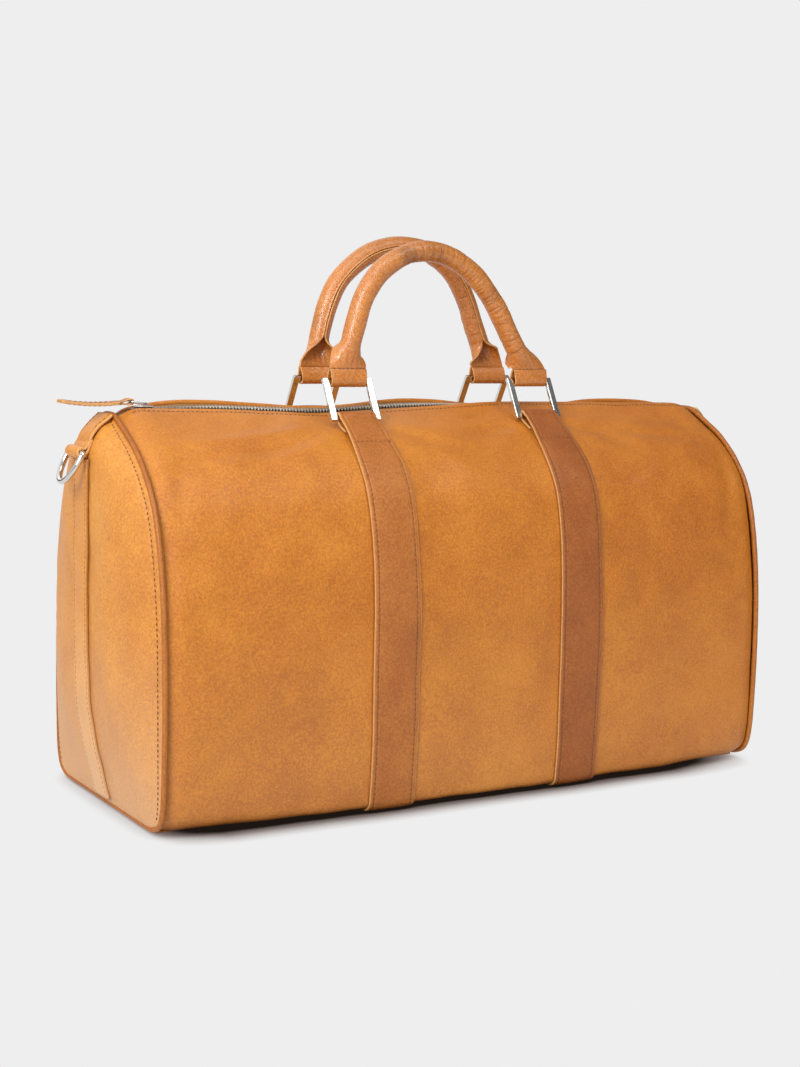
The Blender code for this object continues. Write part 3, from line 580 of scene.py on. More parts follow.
def leather(name, dark, middle, light, roughness=0.5, grain=1.0, seed=0.0, low_sheen=0.0, gloss=0.50, right_shade=None):
    """Full-grain pull-up leather: mottled, with pores and a fine pebble. Painted shade darkens it along
    marked grooves, creases and edges beside laid-on parts; optionally a painted sheen makes it paler toward
    the bottom and a painted shade darkens it toward +X.
    """
    material, tree, shader, where = blank_material(name, roughness)
    parts = shader_node(tree, "ShaderNodeSeparateXYZ", {0: where}).outputs
    shift = {"Vector": where, "Location": (seed, 2 * seed, 0.0)}
    where = shader_node(tree, "ShaderNodeMapping", shift).outputs[0]
    cloud = noise(tree, where, 7.5, 4.0, 0.55, 0.4)
    patch = noise(tree, where, 34.0, 5.0, 0.62, 0.2)
    fleck = noise(tree, where, 620.0, 2.0, 0.6)
    wobble = shader_node(tree, "ShaderNodeTexNoise", {"Vector": where, "Scale": 210.0}).outputs["Color"]
    bent = mix(tree, 0.0035, where, wobble, "ADD")
    pebble = shader_node(tree, "ShaderNodeTexVoronoi", {"Vector": bent, "Scale": 640.0},
                         feature="DISTANCE_TO_EDGE").outputs["Distance"]
    pore = shader_node(tree, "ShaderNodeTexVoronoi", {"Vector": where, "Scale": 430.0}).outputs["Distance"]
    tone = total(tree, [(cloud, 0.26), (patch, 0.26), (fleck, 0.48)])
    colour = ramp(tree, tone, [(0.39, dark), (0.50, middle), (0.61, light)])
    colour = mix(tree, spread(tree, pore, 0.05, 0.22, 0.22, 0.0), colour, dim(dark, 0.55))
    colour = mix(tree, spread(tree, pebble, 0.0, 0.06, 0.16, 0.0), colour, dim(dark, 0.6))
    # painted shade: darker along the marked grooves, creases and edges beside laid-on parts
    colour = mix(tree, marked(tree, "seam", 0.62), colour, dim(dark, 0.34))
    colour = mix(tree, marked(tree, "edge", 0.55), colour, EDGE_LIGHT)
    # painted sheen: paler toward the bottom, standing in for light from the floor
    if low_sheen:
        low = total(tree, [(spread(tree, parts["Z"], 0.14, 0.01), low_sheen), (cloud, 0.25 * low_sheen)])
        colour = mix(tree, low, colour, LOW_SHEEN)
    # painted shade: darker toward +X, where less light falls
    if right_shade:
        shade_tint, start, stop = right_shade
        shaded_colour = mix(tree, 1.0, colour, shade_tint, "MULTIPLY")
        colour = mix(tree, spread(tree, parts["X"], start, stop), colour, shaded_colour)
    rub = total(tree, [(patch, 0.6), (fleck, 0.4)])
    height = total(tree, [(spread(tree, pebble, 0.0, 0.11), 0.55), (spread(tree, pore, 0.0, 0.25), 0.35),
                          (fleck, 0.45), (patch, 1.1)])
    wire(tree, shader, {"Base Color": colour, "Specular IOR Level": gloss,
                        "Roughness": spread(tree, rub, 0.3, 0.7, roughness - 0.07, roughness + 0.09),
                        "Normal": bump(tree, height, 0.45 * grain, 0.0005)})
    return material


def raw_edge(name):
    """Cut edge of the leather: lighter fibres, slightly burnished."""
    material, tree, shader, where = blank_material(name, 0.62)
    fibre = noise(tree, where, 900.0, 4.0, 0.7)
    colour = ramp(tree, fibre, [(0.3, (0.42, 0.19, 0.06)), (0.55, (0.72, 0.38, 0.13)),
                                (0.75, (0.85, 0.50, 0.20))])
    wire(tree, shader, {"Base Color": colour, "Normal": bump(tree, fibre, 0.4, 0.0003)})
    return material


def metal(name, colour, roughness, wear):
    """Plated metal with faint rub marks."""
    material, tree, shader, where = blank_material(name, roughness, 1.0)
    rub = shader_node(tree, "ShaderNodeMapping", {"Vector": where, "Scale": (1.0, 0.18, 0.3)}).outputs[0]
    scratch = noise(tree, rub, 2600.0, 3.0, 0.6)
    smudge = noise(tree, where, 130.0, 3.0, 0.6)
    shade = total(tree, [(scratch, 0.4), (smudge, 0.6)])
    worn = spread(tree, shade, 0.35, 0.65, roughness * (1 - 0.3 * wear), roughness * (1 + 0.9 * wear))
    wire(tree, shader, {"Base Color": ramp(tree, shade, [(0.25, dim(colour, 0.80)), (0.6, colour)]),
                        "Roughness": worn, "Normal": bump(tree, scratch, 0.06 * wear, 0.0001)})
    return material


def woven(name, warp, weft, pitch, directions=("X", "Y")):
    """A plain weave of two threads."""
    material, tree, shader, where = blank_material(name, 0.85)
    inputs = {"Vector": where, "Scale": math.pi / 10 / pitch, "Distortion": 0.6, "Detail": 1.0}
    waves = [shader_node(tree, "ShaderNodeTexWave", inputs, bands_direction=axis).outputs["Fac"]
             for axis in directions]
    fuzz = noise(tree, where, 1500.0, 3.0, 0.7)
    colour = mix(tree, math_node(tree, "GREATER_THAN", *waves), warp, weft)
    colour = mix(tree, spread(tree, fuzz, 0.3, 0.7, 0.0, 0.35), colour, dim(warp, 0.5))
    height = total(tree, [(math_node(tree, "MAXIMUM", *waves), 0.8), (fuzz, 0.3)])
    wire(tree, shader, {"Base Color": colour, "Normal": bump(tree, height, 0.5, 0.0003)})
    return material


def twisted(name, colour, scale, roughness=0.6):
    """Spun thread or cord, with its twist as diagonal bands."""
    material, tree, shader, where = blank_material(name, roughness)
    inputs = {"Vector": where, "Scale": scale, "Distortion": 0.5}
    turn = shader_node(tree, "ShaderNodeTexWave", inputs, bands_direction="DIAGONAL").outputs["Fac"]
    shade = total(tree, [(turn, 0.6), (noise(tree, where, 2200.0, 2.0), 0.4)])
    wire(tree, shader, {"Base Color": ramp(tree, shade, [(0.2, dim(colour, 0.62)), (0.7, colour)]),
                        "Normal": bump(tree, shade, 0.5, 0.0002)})
    return material


def fibreboard(name):
    material, tree, shader, where = blank_material(name, 0.8)
    fibre = noise(tree, where, 240.0, 6.0, 0.75, 0.8)
    colour = ramp(tree, fibre, [(0.3, (0.12, 0.11, 0.10)), (0.7, (0.26, 0.24, 0.22))])
    wire(tree, shader, {"Base Color": colour, "Normal": bump(tree, fibre, 0.3, 0.0003)})
    return material


EDGE_LIGHT = (0.80, 0.42, 0.14)
LOW_SHEEN = (0.86, 0.60, 0.38)          # painted sheen: paler leather toward the bottom of the bag
MATERIALS = {
    # painted sheen on the shell, end and strip leathers: paler toward the bottom of the bag
    "shell": leather("shell_leather", (0.445, 0.127, 0.008), (0.560, 0.180, 0.011), (0.655, 0.240, 0.019),
                     0.42, low_sheen=0.05, right_shade=((0.95, 0.88, 0.72), -0.02, 0.20)),
    "end": leather("end_leather", (0.52, 0.168, 0.013), (0.64, 0.236, 0.022), (0.73, 0.310, 0.038),
                   0.42, seed=3.0, low_sheen=0.28),
    "strip": leather("strip_leather", (0.58, 0.196, 0.017), (0.70, 0.272, 0.030), (0.79, 0.350, 0.050),
                     0.42, seed=5.0, low_sheen=0.42),
    # painted shade on the shell and strap leathers: darker toward +X
    "strap": leather("strap_leather", (0.335, 0.092, 0.011), (0.42, 0.128, 0.018), (0.52, 0.176, 0.029),
                     0.45, seed=7.0, right_shade=((0.82, 0.74, 0.68), -0.05, 0.06)),
    "handle": leather("handle_leather", (0.44, 0.130, 0.014), (0.55, 0.182, 0.024), (0.67, 0.245, 0.038),
                      0.27, 0.9, seed=11.0, gloss=0.95),
    "piping": leather("piping_leather", (0.31, 0.084, 0.006), (0.40, 0.118, 0.010), (0.48, 0.160, 0.017),
                      0.42, 0.8, seed=15.0),
    "edge": raw_edge("leather_edge"),
    "nickel": metal("polished_nickel", (0.80, 0.79, 0.77), 0.10, 0.12),
    "zip_metal": metal("zip_metal", (0.52, 0.47, 0.40), 0.34, 1.0),
    "tape": woven("zip_tape_fabric", (0.34, 0.19, 0.085), (0.26, 0.14, 0.06), 0.0009),
    "lining": woven("lining_fabric", (0.16, 0.13, 0.11), (0.11, 0.09, 0.08), 0.0011, directions=("X", "Z")),
    "thread": twisted("thread", (0.160, 0.058, 0.016), 900.0),
    "cord": twisted("core_cord", (0.50, 0.42, 0.32), 260.0, 0.9),
    "board": fibreboard("base_board_fibre")}


# ---------------------------------------------------------------- shell pieces
def panel(face_name, node):
    """Front or back panel, with its turned edge along the zip. Gives its row of stitches."""
    face = FACES[face_name]
    near_end = PANEL_END - 0.010
    beside = BAND_X + np.array([-1, 1])[:, None] * (BAND_WIDTH / 2 + np.linspace(-0.0012, 0.0022, 8))
    x = np.concatenate([np.linspace(-PANEL_END, -near_end, 14), np.linspace(-near_end, near_end, 215),
                        np.linspace(near_end, PANEL_END, 14), beside.ravel(), -beside.ravel()])
    x = np.unique(x.round(5))
    where = np.concatenate([np.linspace(0, 10.5, 126), np.linspace(10.5, TOP, 22)[1:]])
    points = shell(x[None, :], where[:, None], face)
    edge = points[-1]
    inward = unit(edge - points[-2])
    down = np.cross(inward, (1.0, 0, 0)) * -face
    down *= np.sign(-down[:, 2:3])
    turned = [edge + LIP_RADIUS[face_name] * (math.sin(angle) * inward + (1 - math.cos(angle)) * down)
              for angle in np.radians(np.linspace(20, 205, 10))]
    turned.append(turned[-1] - LIP_TAIL * inward)
    points = np.concatenate([points, np.array(turned)])
    # painted shade: darker in the stitch groove by the zip, at the edge that rolls into the piping and beside
    # the bands' edges
    seam = np.zeros(points.shape[:2])
    seam[:len(where)] += 0.25 * bell(where[:, None] - LIP_STITCH, 0.06)
    seam += 0.9 * smooth(np.abs(x), PANEL_END - 0.0016, PANEL_END)[None, :]
    from_band = np.abs(np.abs(x) - BAND_X) - BAND_WIDTH / 2
    under_band = np.concatenate([where < 9.0, np.zeros(len(turned), bool)])
    seam += 0.6 * bell(from_band - 0.0002, 0.0008)[None, :] * under_band[:, None]
    mesh = grid_mesh(node + "_leather", points, flip=face > 0, marks={"seam": np.minimum(seam, 1.0)})
    place(node + "_leather", mesh, "shell", "shell", [node], LEATHER / 2)
    run = np.linspace(-0.238, 0.238, 500)
    return row_on_shell(run, np.full_like(run, LIP_STITCH), face, 0.0001, 0.0011)


def end_panel_piece(side_name):
    side = SIDES[side_name]
    name = f"end_panel_{side_name}"
    where = np.concatenate([np.linspace(0, 0.8, 12)[:-1], np.linspace(0.8, TOP, 130)])
    rim = outline(np.full_like(where, HALF_LENGTH), where)
    step = unit(np.gradient(rim, axis=0))
    rim = rim - END_RIM_INSET * np.stack([step[:, 1], -step[:, 0]], axis=1)
    u = np.concatenate([np.linspace(0, 0.93, 26), np.linspace(0.93, 1.0, 12)[1:]])
    u = np.concatenate([-u[:0:-1], u])
    y = u[None, :] * rim[:, :1]
    z = np.broadcast_to(rim[:, 1:], y.shape)
    from_rim = (1 - np.abs(u))[None, :] * rim[:, :1]
    groove = bell(from_rim - RIM_STITCH, 0.0008)
    x = end_x(y, z, side) - 0.0006 * (1 - smooth(from_rim, 0.0, 0.0022)) - 0.0003 * groove
    # painted shade: darker in the stitch groove and at the rim by the piping, and a painted shadow beside the
    # end strip
    strip_shadow = bell(np.abs(y) - STRIP_WIDTH / 2 - 0.0006, 0.0010) * (z < STRIP_Z[1])
    seam = np.maximum(np.maximum(0.25 * groove, 1 - smooth(from_rim, 0.0, 0.0010)), strip_shadow)
    mesh = grid_mesh(name + "_leather", points_of(side * x, y, z), flip=side < 0, marks={"seam": seam})
    place(name + "_leather", mesh, "end", "shell", [name], LEATHER)
    keep = (rim[:, 0] > 0.012) & (rim[:, 1] > 0.012)
    rows = []
    for face in (-1, 1):
        yy, zz = face * (rim[keep, 0] - RIM_STITCH), rim[keep, 1]
        rows.append(row_facing(points_of(side * (end_x(yy, zz, side) + 0.00005), yy, zz), (side, 0, 0)))
    return rows


def piping_piece(side_name):
    side = SIDES[side_name]
    where = np.linspace(0, TOP, 150)
    half = outline(np.full_like(where, HALF_LENGTH), where)
    loop = np.concatenate([half, half[::-1] * (-1, 1), half[:1]])
    loop = relaxed(resample(loop, 0.0022)[:-1], 3)
    lumps = 1 + 0.035 * ripple(loop[:, 0], loop[:, 1], 0.012, 51 + side)
    tube(f"piping_{side_name}_leather", points_of(side * PIPING_X, loop[:, 0], loop[:, 1]),
         PIPING_RADIUS * lumps, "piping", "shell", ["piping_" + side_name], closed=True,
         around=16)


def base_piece():
    low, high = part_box("base_panel")
    xx, yy = np.meshgrid(np.linspace(low.x, high.x, 60), np.linspace(low.y, high.y, 40))
    edge = np.minimum(np.minimum(xx - low.x, high.x - xx), np.minimum(yy - low.y, high.y - yy))
    points = points_of(xx, yy, BASE_DIP * (1 - smooth(edge, 0.0, 0.004)))
    place("base_panel_leather", grid_mesh("base_panel_leather", points, flip=True), "shell", "shell",
          ["base_panel"], high.z - low.z - BASE_DIP)
    run = np.linspace(low.x + 0.006, high.x - 0.006, 300)
    rows = [row_facing(points_of(run, side * (high.y - BASE_SEAM), 0.0003), (0, 0, -1)) for side in (-1, 1)]
    stitches("base_thread", rows, "shell")


# ---------------------------------------------------------------- straps
def strap_columns(half_width, inset, middle=5):
    """Across a strap: places from -1 to 1, heights over its mid surface, the painted shade of its stitch
    grooves and the edge mark.
    """
    edge, groove = 0.0008 / half_width, 1 - inset / half_width
    lip = 0.0007 / half_width
    right = [0.0] + list(np.linspace(0, groove - 2.2 * lip, middle)[1:])
    right += [groove - lip, groove, groove + lip, (groove + lip + 1 - edge) / 2, 1 - edge, 1 - edge / 4, 1.0]
    right = np.array(right)
    across = np.concatenate([-right[:0:-1], right])
    near = np.abs(across)
    dip = bell(near - groove, 0.8 * lip)
    crown = 0.00018 * (1 - (near / groove) ** 2).clip(0)
    height = crown - 0.00042 * dip - 0.0004 * smooth(near, 1 - 2 * edge, 1.0)
    return across, height, dip, smooth(near, 1 - 1.4 * edge, 1.0)


def strap_piece(node, base, columns, flip, material, raw=True):
    """A strap from its mid surface: relief across it, thickness, and a raw edge or painted shade along its
    edge.
    """
    _, height, seam, edge = columns
    outward = normals_of(base) * (-1 if flip else 1)
    # painted shade in the stitch grooves; a raw edge gets lighter fibre, a plain edge gets painted shade
    marks = {"seam": 0.35 * seam, "edge": edge} if raw else {"seam": np.maximum(0.25 * seam, 0.9 * edge ** 3)}
    mesh = grid_mesh(node + "_leather", base + outward * height[None, :, None], flip=not flip, marks=marks)
    place(node + "_leather", mesh, material, "shell", [node], STRAP, 0.0, raw)
    return outward


def ring_x(face_name, side_name):
    return SIDES[side_name] * BAND_X + RING_SAG.get((face_name, side_name), 0.0)


def band_piece(face_name, side_name):
    """A band up the panel and round the lower bar of its ring. Gives its rows of stitches."""
    face = FACES[face_name]
    sewn_x, loop_x = SIDES[side_name] * BAND_X, ring_x(face_name, side_name)

    def middle_x(at):
        return sewn_x + (loop_x - sewn_x) * smooth(at, *BAND_LEAN)

    columns = strap_columns(BAND_WIDTH / 2, BAND_SEAM)
    across = columns[0]
    flat = STRAP_LIFT + STRAP / 2
    low = np.arange(0, BAND_LIFT[0][0], 0.07)
    high = np.linspace(BAND_LIFT[0][0], BAND_LIFT[-1][0], 22)
    where = np.concatenate([low, high])
    lift = np.concatenate([np.full_like(low, flat), along_x(BAND_LIFT, high)])
    half = BAND_WIDTH / 2 + (LOOP_WIDTH - BAND_WIDTH) / 2 * smooth(where, 7.8, 9.7)
    x = middle_x(where)[:, None] + half[:, None] * across[None, :]
    base = shell(x, where[:, None], face, lift[:, None])
    base[..., 2] = np.maximum(base[..., 2], STRAP / 2 + ON_FLOOR)
    _, centre_y, centre_z = JOINTS[f"{face_name}_ring_{side_name}_hinge"]["pos_m"]
    centre = np.array([face * centre_y, centre_z])
    last = base[-1, len(across) // 2, 1:] * (face, 1) - centre
    loop = arc(centre, LOOP_RADIUS, math.degrees(math.atan2(last[1], last[0])) + 12, 170, 22)
    back = shell(np.full(6, loop_x), np.linspace(9.72, 9.4, 6), face, flat)[:, 1:] * (face, 1)
    tail = resample(np.vstack([loop, back]), STRAP_STEP)
    tail = points_of(loop_x + LOOP_WIDTH / 2 * across, face * tail[:, :1], tail[:, 1:])
    base = np.concatenate([base, tail])
    strap_piece(f"{face_name}_band_{side_name}", base, columns, face < 0, "strap")
    start, stop, crossing = BAND_SEWN
    at = np.linspace(start, stop, 420)
    rows = []
    for s in (-1, 1):
        line, outward = row_on_shell(middle_x(at) + s * (BAND_WIDTH / 2 - BAND_SEAM), at, face,
                                     flat + STRAP / 2 - THREAD_SINK, flat + 0.004)
        line[:, 2] = np.maximum(line[:, 2], 2 * ON_FLOOR)
        rows.append((line, outward))
    at = np.full(40, crossing)
    xs = middle_x(at) + np.linspace(0.004 - BAND_WIDTH / 2, BAND_WIDTH / 2 - 0.004, 40)
    top = along_x(BAND_LIFT, at) + STRAP / 2 + 0.0001
    return rows + [row_on_shell(xs, at, face, top, top + 0.002)]


def end_strip_piece(side_name):
    side = SIDES[side_name]
    columns = strap_columns(STRIP_WIDTH / 2, STRIP_SEAM)
    yy, zz = np.meshgrid(STRIP_WIDTH / 2 * columns[0], np.linspace(*STRIP_Z, 150))
    lift = STRIP_LIFT + STRAP / 2
    base = points_of(side * (end_x(yy, zz, side) + lift), yy, zz)
    strap_piece("end_strip_" + side_name, base, columns, side > 0, "strip", raw=False)
    rows = []
    for s in (-1, 1):
        zs = np.linspace(STRIP_Z[0] + 0.003, STRIP_Z[1] - 0.004, 300)
        ys = np.full_like(zs, s * (STRIP_WIDTH / 2 - STRIP_SEAM))
        top = side * (end_x(ys, zs, side) + lift + STRAP / 2 - THREAD_SINK)
        rows.append(row_facing(points_of(top, ys, zs), (side, 0, 0)))
    return rows


def end_tab_piece(side_name):
    """The tab from the zip's end, looped round the D-ring's straight bar. Gives its rows of stitches."""
    side = SIDES[side_name]
    columns = strap_columns(STRIP_WIDTH / 2, STRIP_SEAM)
    axis_x, _, axis_z = JOINTS[f"d_ring_{side_name}_hinge"]["pos_m"]
    drop = [(END_RIM_X + TAB_START[0], TAB_START[1])]
    drop += [(float(end_x(0.0, z)) + height, z) for z, height in TAB_DROP]
    fall = fine_curve(np.array(drop), 60)
    loop = arc((abs(axis_x), axis_z), TAB_LOOP_RADIUS, 128, -285, 32)
    back = np.array([(float(end_x(0.0, z)) + STRIP_LIFT, z) for z in (0.2490, 0.2530, 0.2560)])
    path = resample(np.vstack([fall, loop, back]), STRAP_STEP)
    run = run_along(path)
    half = STRIP_WIDTH / 2 + (TAB_LOOP_WIDTH - STRIP_WIDTH) / 2 * smooth(run, 0.004, 0.012)
    base = points_of(side * path[:, :1], half[:, None] * columns[0][None, :], path[:, 1:])
    outward = strap_piece("end_tab_" + side_name, base, columns, side < 0, "end")
    sewn = run < TAB_SEWN
    rows = []
    for s, column in ((-1, 0), (1, -1)):
        up = outward[sewn, column]
        line = base[sewn, column] + up * (STRAP / 2 - 0.0001)
        rows.append((line + np.array([0.0, -s * STRIP_SEAM, 0.0]), up))
    return rows


# ---------------------------------------------------------------- rings
def ring_piece(face_name, side_name):
    """A flat rectangular ring, lying between its two hinge axes."""
    name = f"{face_name}_ring_{side_name}"
    lower = Vector(JOINTS[name + "_hinge"]["pos_m"])
    upper = Vector(JOINTS[f"{face_name}_handle_hinge"]["pos_m"])
    lower.x = upper.x = ring_x(face_name, side_name)
    width, height, thick = RING_SIZE
    side_bar, end_bar = RING_BARS

    def rectangle(half, low, high):
        return [(-half, low), (half, low), (half, high), (-half, high)]

    outer = rectangle(width / 2, -end_bar / 2, height - end_bar / 2)
    inner = rectangle(width / 2 - side_bar, end_bar / 2, height - 1.5 * end_bar)
    bm = bmesh.new()
    front_outer, front_inner, back_outer, back_inner = [
        [bm.verts.new((a, depth, b)) for a, b in shape]
        for depth in (-thick / 2, thick / 2) for shape in (outer, inner)]
    for first, second in ((front_outer, front_inner), (back_inner, back_outer), (back_outer, front_outer),
                          (front_inner, back_inner)):
        for k in range(4):
            bm.faces.new([first[k], first[(k + 1) % 4], second[(k + 1) % 4], second[k]])
    bmesh.ops.recalc_face_normals(bm, faces=bm.faces)
    up = (upper - lower).normalized()
    along = Vector((1, 0, 0))
    turn = Matrix((along, up.cross(along), up)).transposed().to_4x4()
    bmesh.ops.transform(bm, matrix=Matrix.Translation(lower) @ turn, verts=bm.verts)
    mesh = block_mesh(bm, name + "_metal")
    bevel(place(name + "_metal", mesh, "nickel", name, [name]), 0.0006, 4).harden_normals = True
    mesh.shade_smooth()


def d_ring_piece(side_name):
    name = "d_ring_" + side_name
    tilt = math.radians(D_RING["tilt"])
    half, height = D_RING["half_width"], D_RING["height"]
    straight = [(-half + 2 * half * t, 0.0) for t in np.linspace(0, 1, 25)[1:-1]]
    bow = [(half * math.cos(a), height * max(math.sin(a), 0.0) ** 0.8) for a in np.linspace(0, math.pi, 60)]
    flat = relaxed(np.array(straight + bow), 4)
    flat[:, 1] *= height / flat[:, 1].max()
    down = np.array([SIDES[side_name] * math.sin(tilt), 0.0, -math.cos(tilt)])
    points = np.array(JOINTS[name + "_hinge"]["pos_m"]) + flat[:, :1] * (0.0, 1.0, 0.0) + flat[:, 1:] * down
    tube(name + "_metal", points, D_RING["wire"], "nickel", name, [name], closed=True,
         around=24)


# ---------------------------------------------------------------- handles
def handle_wrinkles(run, turn, total_run, seed):
    """Fine creases across the rolled leather, mostly inside the bend, and slow lumps."""
    rng = np.random.default_rng(seed)
    out = 0.00022 * ripple(run, turn * 0.006, 0.030, seed + 5)
    for place_on in rng.uniform(0.30, 0.93, 210) ** 0.80:
        from_middle = turn - rng.normal(0.9, 0.9)
        depth = rng.uniform(0.00012, 0.00036)
        slant = rng.uniform(-0.0010, 0.0010)
        width = rng.uniform(0.00045, 0.00075)
        window = bell(from_middle, rng.uniform(0.5, 0.95))
        out -= depth * window * bell(run - place_on * total_run - slant * from_middle, width)
    return out


def flat_end(face_name, side_name, height, u):
    """The handle's end: down to the ring's upper bar, round it and up again behind."""
    _, hinge_y, hinge_z = JOINTS[f"{face_name}_handle_hinge"]["pos_m"]
    path = np.vstack([[(FLAT_OUT, height), (0.0026, 0.6 * height)], arc((0, 0), LOOP_RADIUS, 12, -204, 20),
                      [(-0.0028, 0.5 * height), (-0.0014, 0.8 * height), (-0.0008, height - 0.0004)]])
    path = resample(fine_curve(path, 160), HANDLE_STEP)
    depth = run_along(path)[:, None]
    half_width = LOOP_WIDTH / 2 - 0.0005 * np.sin(math.pi * np.clip(depth / depth[-1], 0, 1))
    camber = 0.0006 * (1 - u ** 2)[None, :] * bell(depth, 0.006)
    return points_of(ring_x(face_name, side_name) - SIDES[side_name] * u[None, :] * half_width,
                     hinge_y + FACES[face_name] * (path[:, :1] + camber), hinge_z + path[:, 1:])[1:]


def handle_piece(face_name):
    """One sheet of leather: folded round both rings' bars, and rolled round the core between."""
    face = FACES[face_name]
    name = face_name + "_handle"
    _, hinge_y, hinge_z = JOINTS[name + "_hinge"]["pos_m"]
    line = resample(fine_curve(HANDLE_ARCH[face_name], 600), HANDLE_STEP)
    run = run_along(line)
    total_run = run[-1]
    from_end = np.minimum(run, total_run - run)
    open_up = smooth(from_end, 0.0, FLARE_RUN)
    tangent = unit(np.gradient(line, axis=0))
    upright = np.where(run < total_run / 2, 1.0, -1.0)[:, None] * np.array([0.0, 1.0])
    tangent = unit(upright + (tangent - upright) * smooth(from_end, 0.0, 0.016)[:, None])
    u = np.concatenate([np.linspace(-1, -0.9, 7)[:-1], np.linspace(-0.9, 0.9, 45),
                        np.linspace(0.9, 1, 7)[1:]])
    sweep = FLAT_SWEEP + (2 * math.pi * SEAM_GAP - FLAT_SWEEP) * open_up
    width = LOOP_WIDTH + (2 * HANDLE_RADIUS - LOOP_WIDTH) * smooth(from_end, 0.002, 0.85 * FLARE_RUN)
    r = (width / (2 * np.sin(np.minimum(sweep, math.pi) / 2)))[:, None]
    reach = FLAT_OUT + (HANDLE_RADIUS - FLAT_OUT) * smooth(from_end, -0.004, 0.90 * FLARE_RUN)
    turn = u[None, :] * sweep[:, None] / 2
    open_up = open_up[:, None]
    seam_lip = 0.0009 * smooth(np.abs(u), 0.945, 1.0)[None, :] * open_up
    out = reach[:, None] - r * (1 - np.cos(turn)) + seam_lip * np.cos(turn)
    across = r * np.sin(turn) + seam_lip * np.sin(turn)
    rolled = points_of(line[:, :1] + across * tangent[:, 1:], hinge_y + face * out,
                       line[:, 1:] - across * tangent[:, :1])
    normal = normals_of(rolled)
    normal *= np.sign((normal * (rolled - rolled.mean(axis=1, keepdims=True))).sum(-1, keepdims=True).mean())
    wrinkle = handle_wrinkles(run[:, None], turn, total_run, HANDLE_SEED[face_name]) * open_up
    gathered = smooth(from_end, 0.001, 0.006) * (1 - smooth(from_end, 0.008, 0.020))
    gather = 0.00028 * np.cos(7 * u[None, :] * math.pi) * (1 - np.abs(u[None, :])) * gathered[:, None]
    rolled = rolled + normal * (wrinkle + gather)[..., None]
    left, right = (flat_end(face_name, side_name, line[0, 1] - hinge_z, u) for side_name in SIDES)
    points = np.concatenate([left[::-1], rolled, right])
    # painted shade: darker where the tube meets its flat ends, over the top of the arch and in the wrinkles'
    # valleys
    seam = np.zeros(points.shape[:2])
    seam[len(left):-len(right)] = (
        0.35 * bell(from_end - 0.0006, 0.0008)[:, None] + 0.30 * bell(run / total_run - 0.46, 0.17)[:, None]
        + 0.7 * smooth(-wrinkle, 0.00010, 0.00055))
    mesh = grid_mesh(name + "_leather", points, flip=face > 0,
                     marks={"seam": seam, "edge": 0.5 * smooth(np.abs(u), 0.985, 1.0)})
    place(name + "_leather", mesh, "handle", name, [name + "_cover"], HANDLE_LEATHER, 0.0,
          True)
    inside = from_end > CORE_START
    core_radius = CORE_RADIUS * (0.35 + 0.65 * smooth(from_end[inside], 0.020, 0.034))
    tube(name + "_cord", points_of(line[inside, 0], hinge_y, line[inside, 1]), core_radius, "cord", name,
         [name + "_core"])
    out_y = (0.0, float(face), 0.0)
    rows = [row_facing(rolled[row, 5:-5] + np.array(out_y) * HANDLE_LEATHER / 2, out_y)
            for row in (1, len(rolled) - 2)]
    stitches(name + "_thread", rows, name)


# ---------------------------------------------------------------- zip
def on_zip(x, y, height):
    """Points of the zip, following its dips and tilts. height is from the middle of the teeth."""
    tilt = np.radians(along_x(ZIP_TILT, x))
    middle = TEETH_Z + along_x(ZIP_WAVE, x)
    return points_of(x, y * np.cos(tilt) - height * np.sin(tilt),
                     middle + y * np.sin(tilt) + height * np.cos(tilt))


def tape_piece(face_name):
    face = FACES[face_name]
    name = "zip_tape_" + face_name
    x = np.linspace(-PANEL_END + 0.001, PANEL_END - 0.001, 200)
    under = shell(x[None, :], np.linspace(UNDER_TAPE, TOP, 9)[:, None], face, -LEATHER - 0.0009)
    fall = outline(x, np.full_like(x, float(TOP)))[:, 1] - MID_SECTION[-1, 1]
    past_teeth = smooth(np.abs(x), ZIP_HALF_LENGTH + 0.0005, ZIP_HALF_LENGTH + 0.004)
    edge_y = 0.0002 + (TAPE_EDGE_Y - 0.0002) * (1 - past_teeth)
    edge = on_zip(x, face * edge_y, -0.0014) + fall[:, None] * (0, 0, 1)
    blend = np.linspace(0, 1, 7)[1:, None, None]
    points = np.concatenate([under, under[-1][None] * (1 - blend) + edge[None] * blend])
    mesh = grid_mesh(name + "_cloth", points, flip=face > 0)
    place(name + "_cloth", mesh, "tape", "shell", [name], TAPE, 0.0)


def teeth_piece(face_name):
    """A row of separate pressed teeth that mesh with the other row, and the cord they grip."""
    face = FACES[face_name]
    name = "zip_teeth_" + face_name
    bm = bmesh.new()
    bmesh.ops.create_cube(bm, size=1.0, matrix=Matrix.Diagonal((*TOOTH, 1.0)))
    bmesh.ops.bevel(bm, geom=list(bm.edges), offset=0.00028, segments=1, affect="EDGES")
    tooth, faces = pattern_of(bm)
    tooth[:, 1] += face * (TOOTH[1] / 2 - 0.0007)
    places = np.arange(-ZIP_HALF_LENGTH + 0.002, ZIP_HALF_LENGTH - 0.001, TOOTH_PITCH)
    blocks = []
    for x in places - face * TOOTH_PITCH / 4:
        block = on_zip(np.full(len(tooth), x), tooth[:, 1], tooth[:, 2])
        block[:, 0] += tooth[:, 0]
        blocks.append(block)
    mesh = repeated_mesh(name + "_metal", blocks, faces)
    place(name + "_metal", mesh, "zip_metal", "shell", [name])
    x = np.linspace(-ZIP_HALF_LENGTH, ZIP_HALF_LENGTH, 120)
    line = on_zip(x, face * ZIP_CORD["y"], ZIP_CORD["height"])
    tube(f"zip_cord_{face_name}", line, ZIP_CORD["radius"], "tape", "shell", around=10)


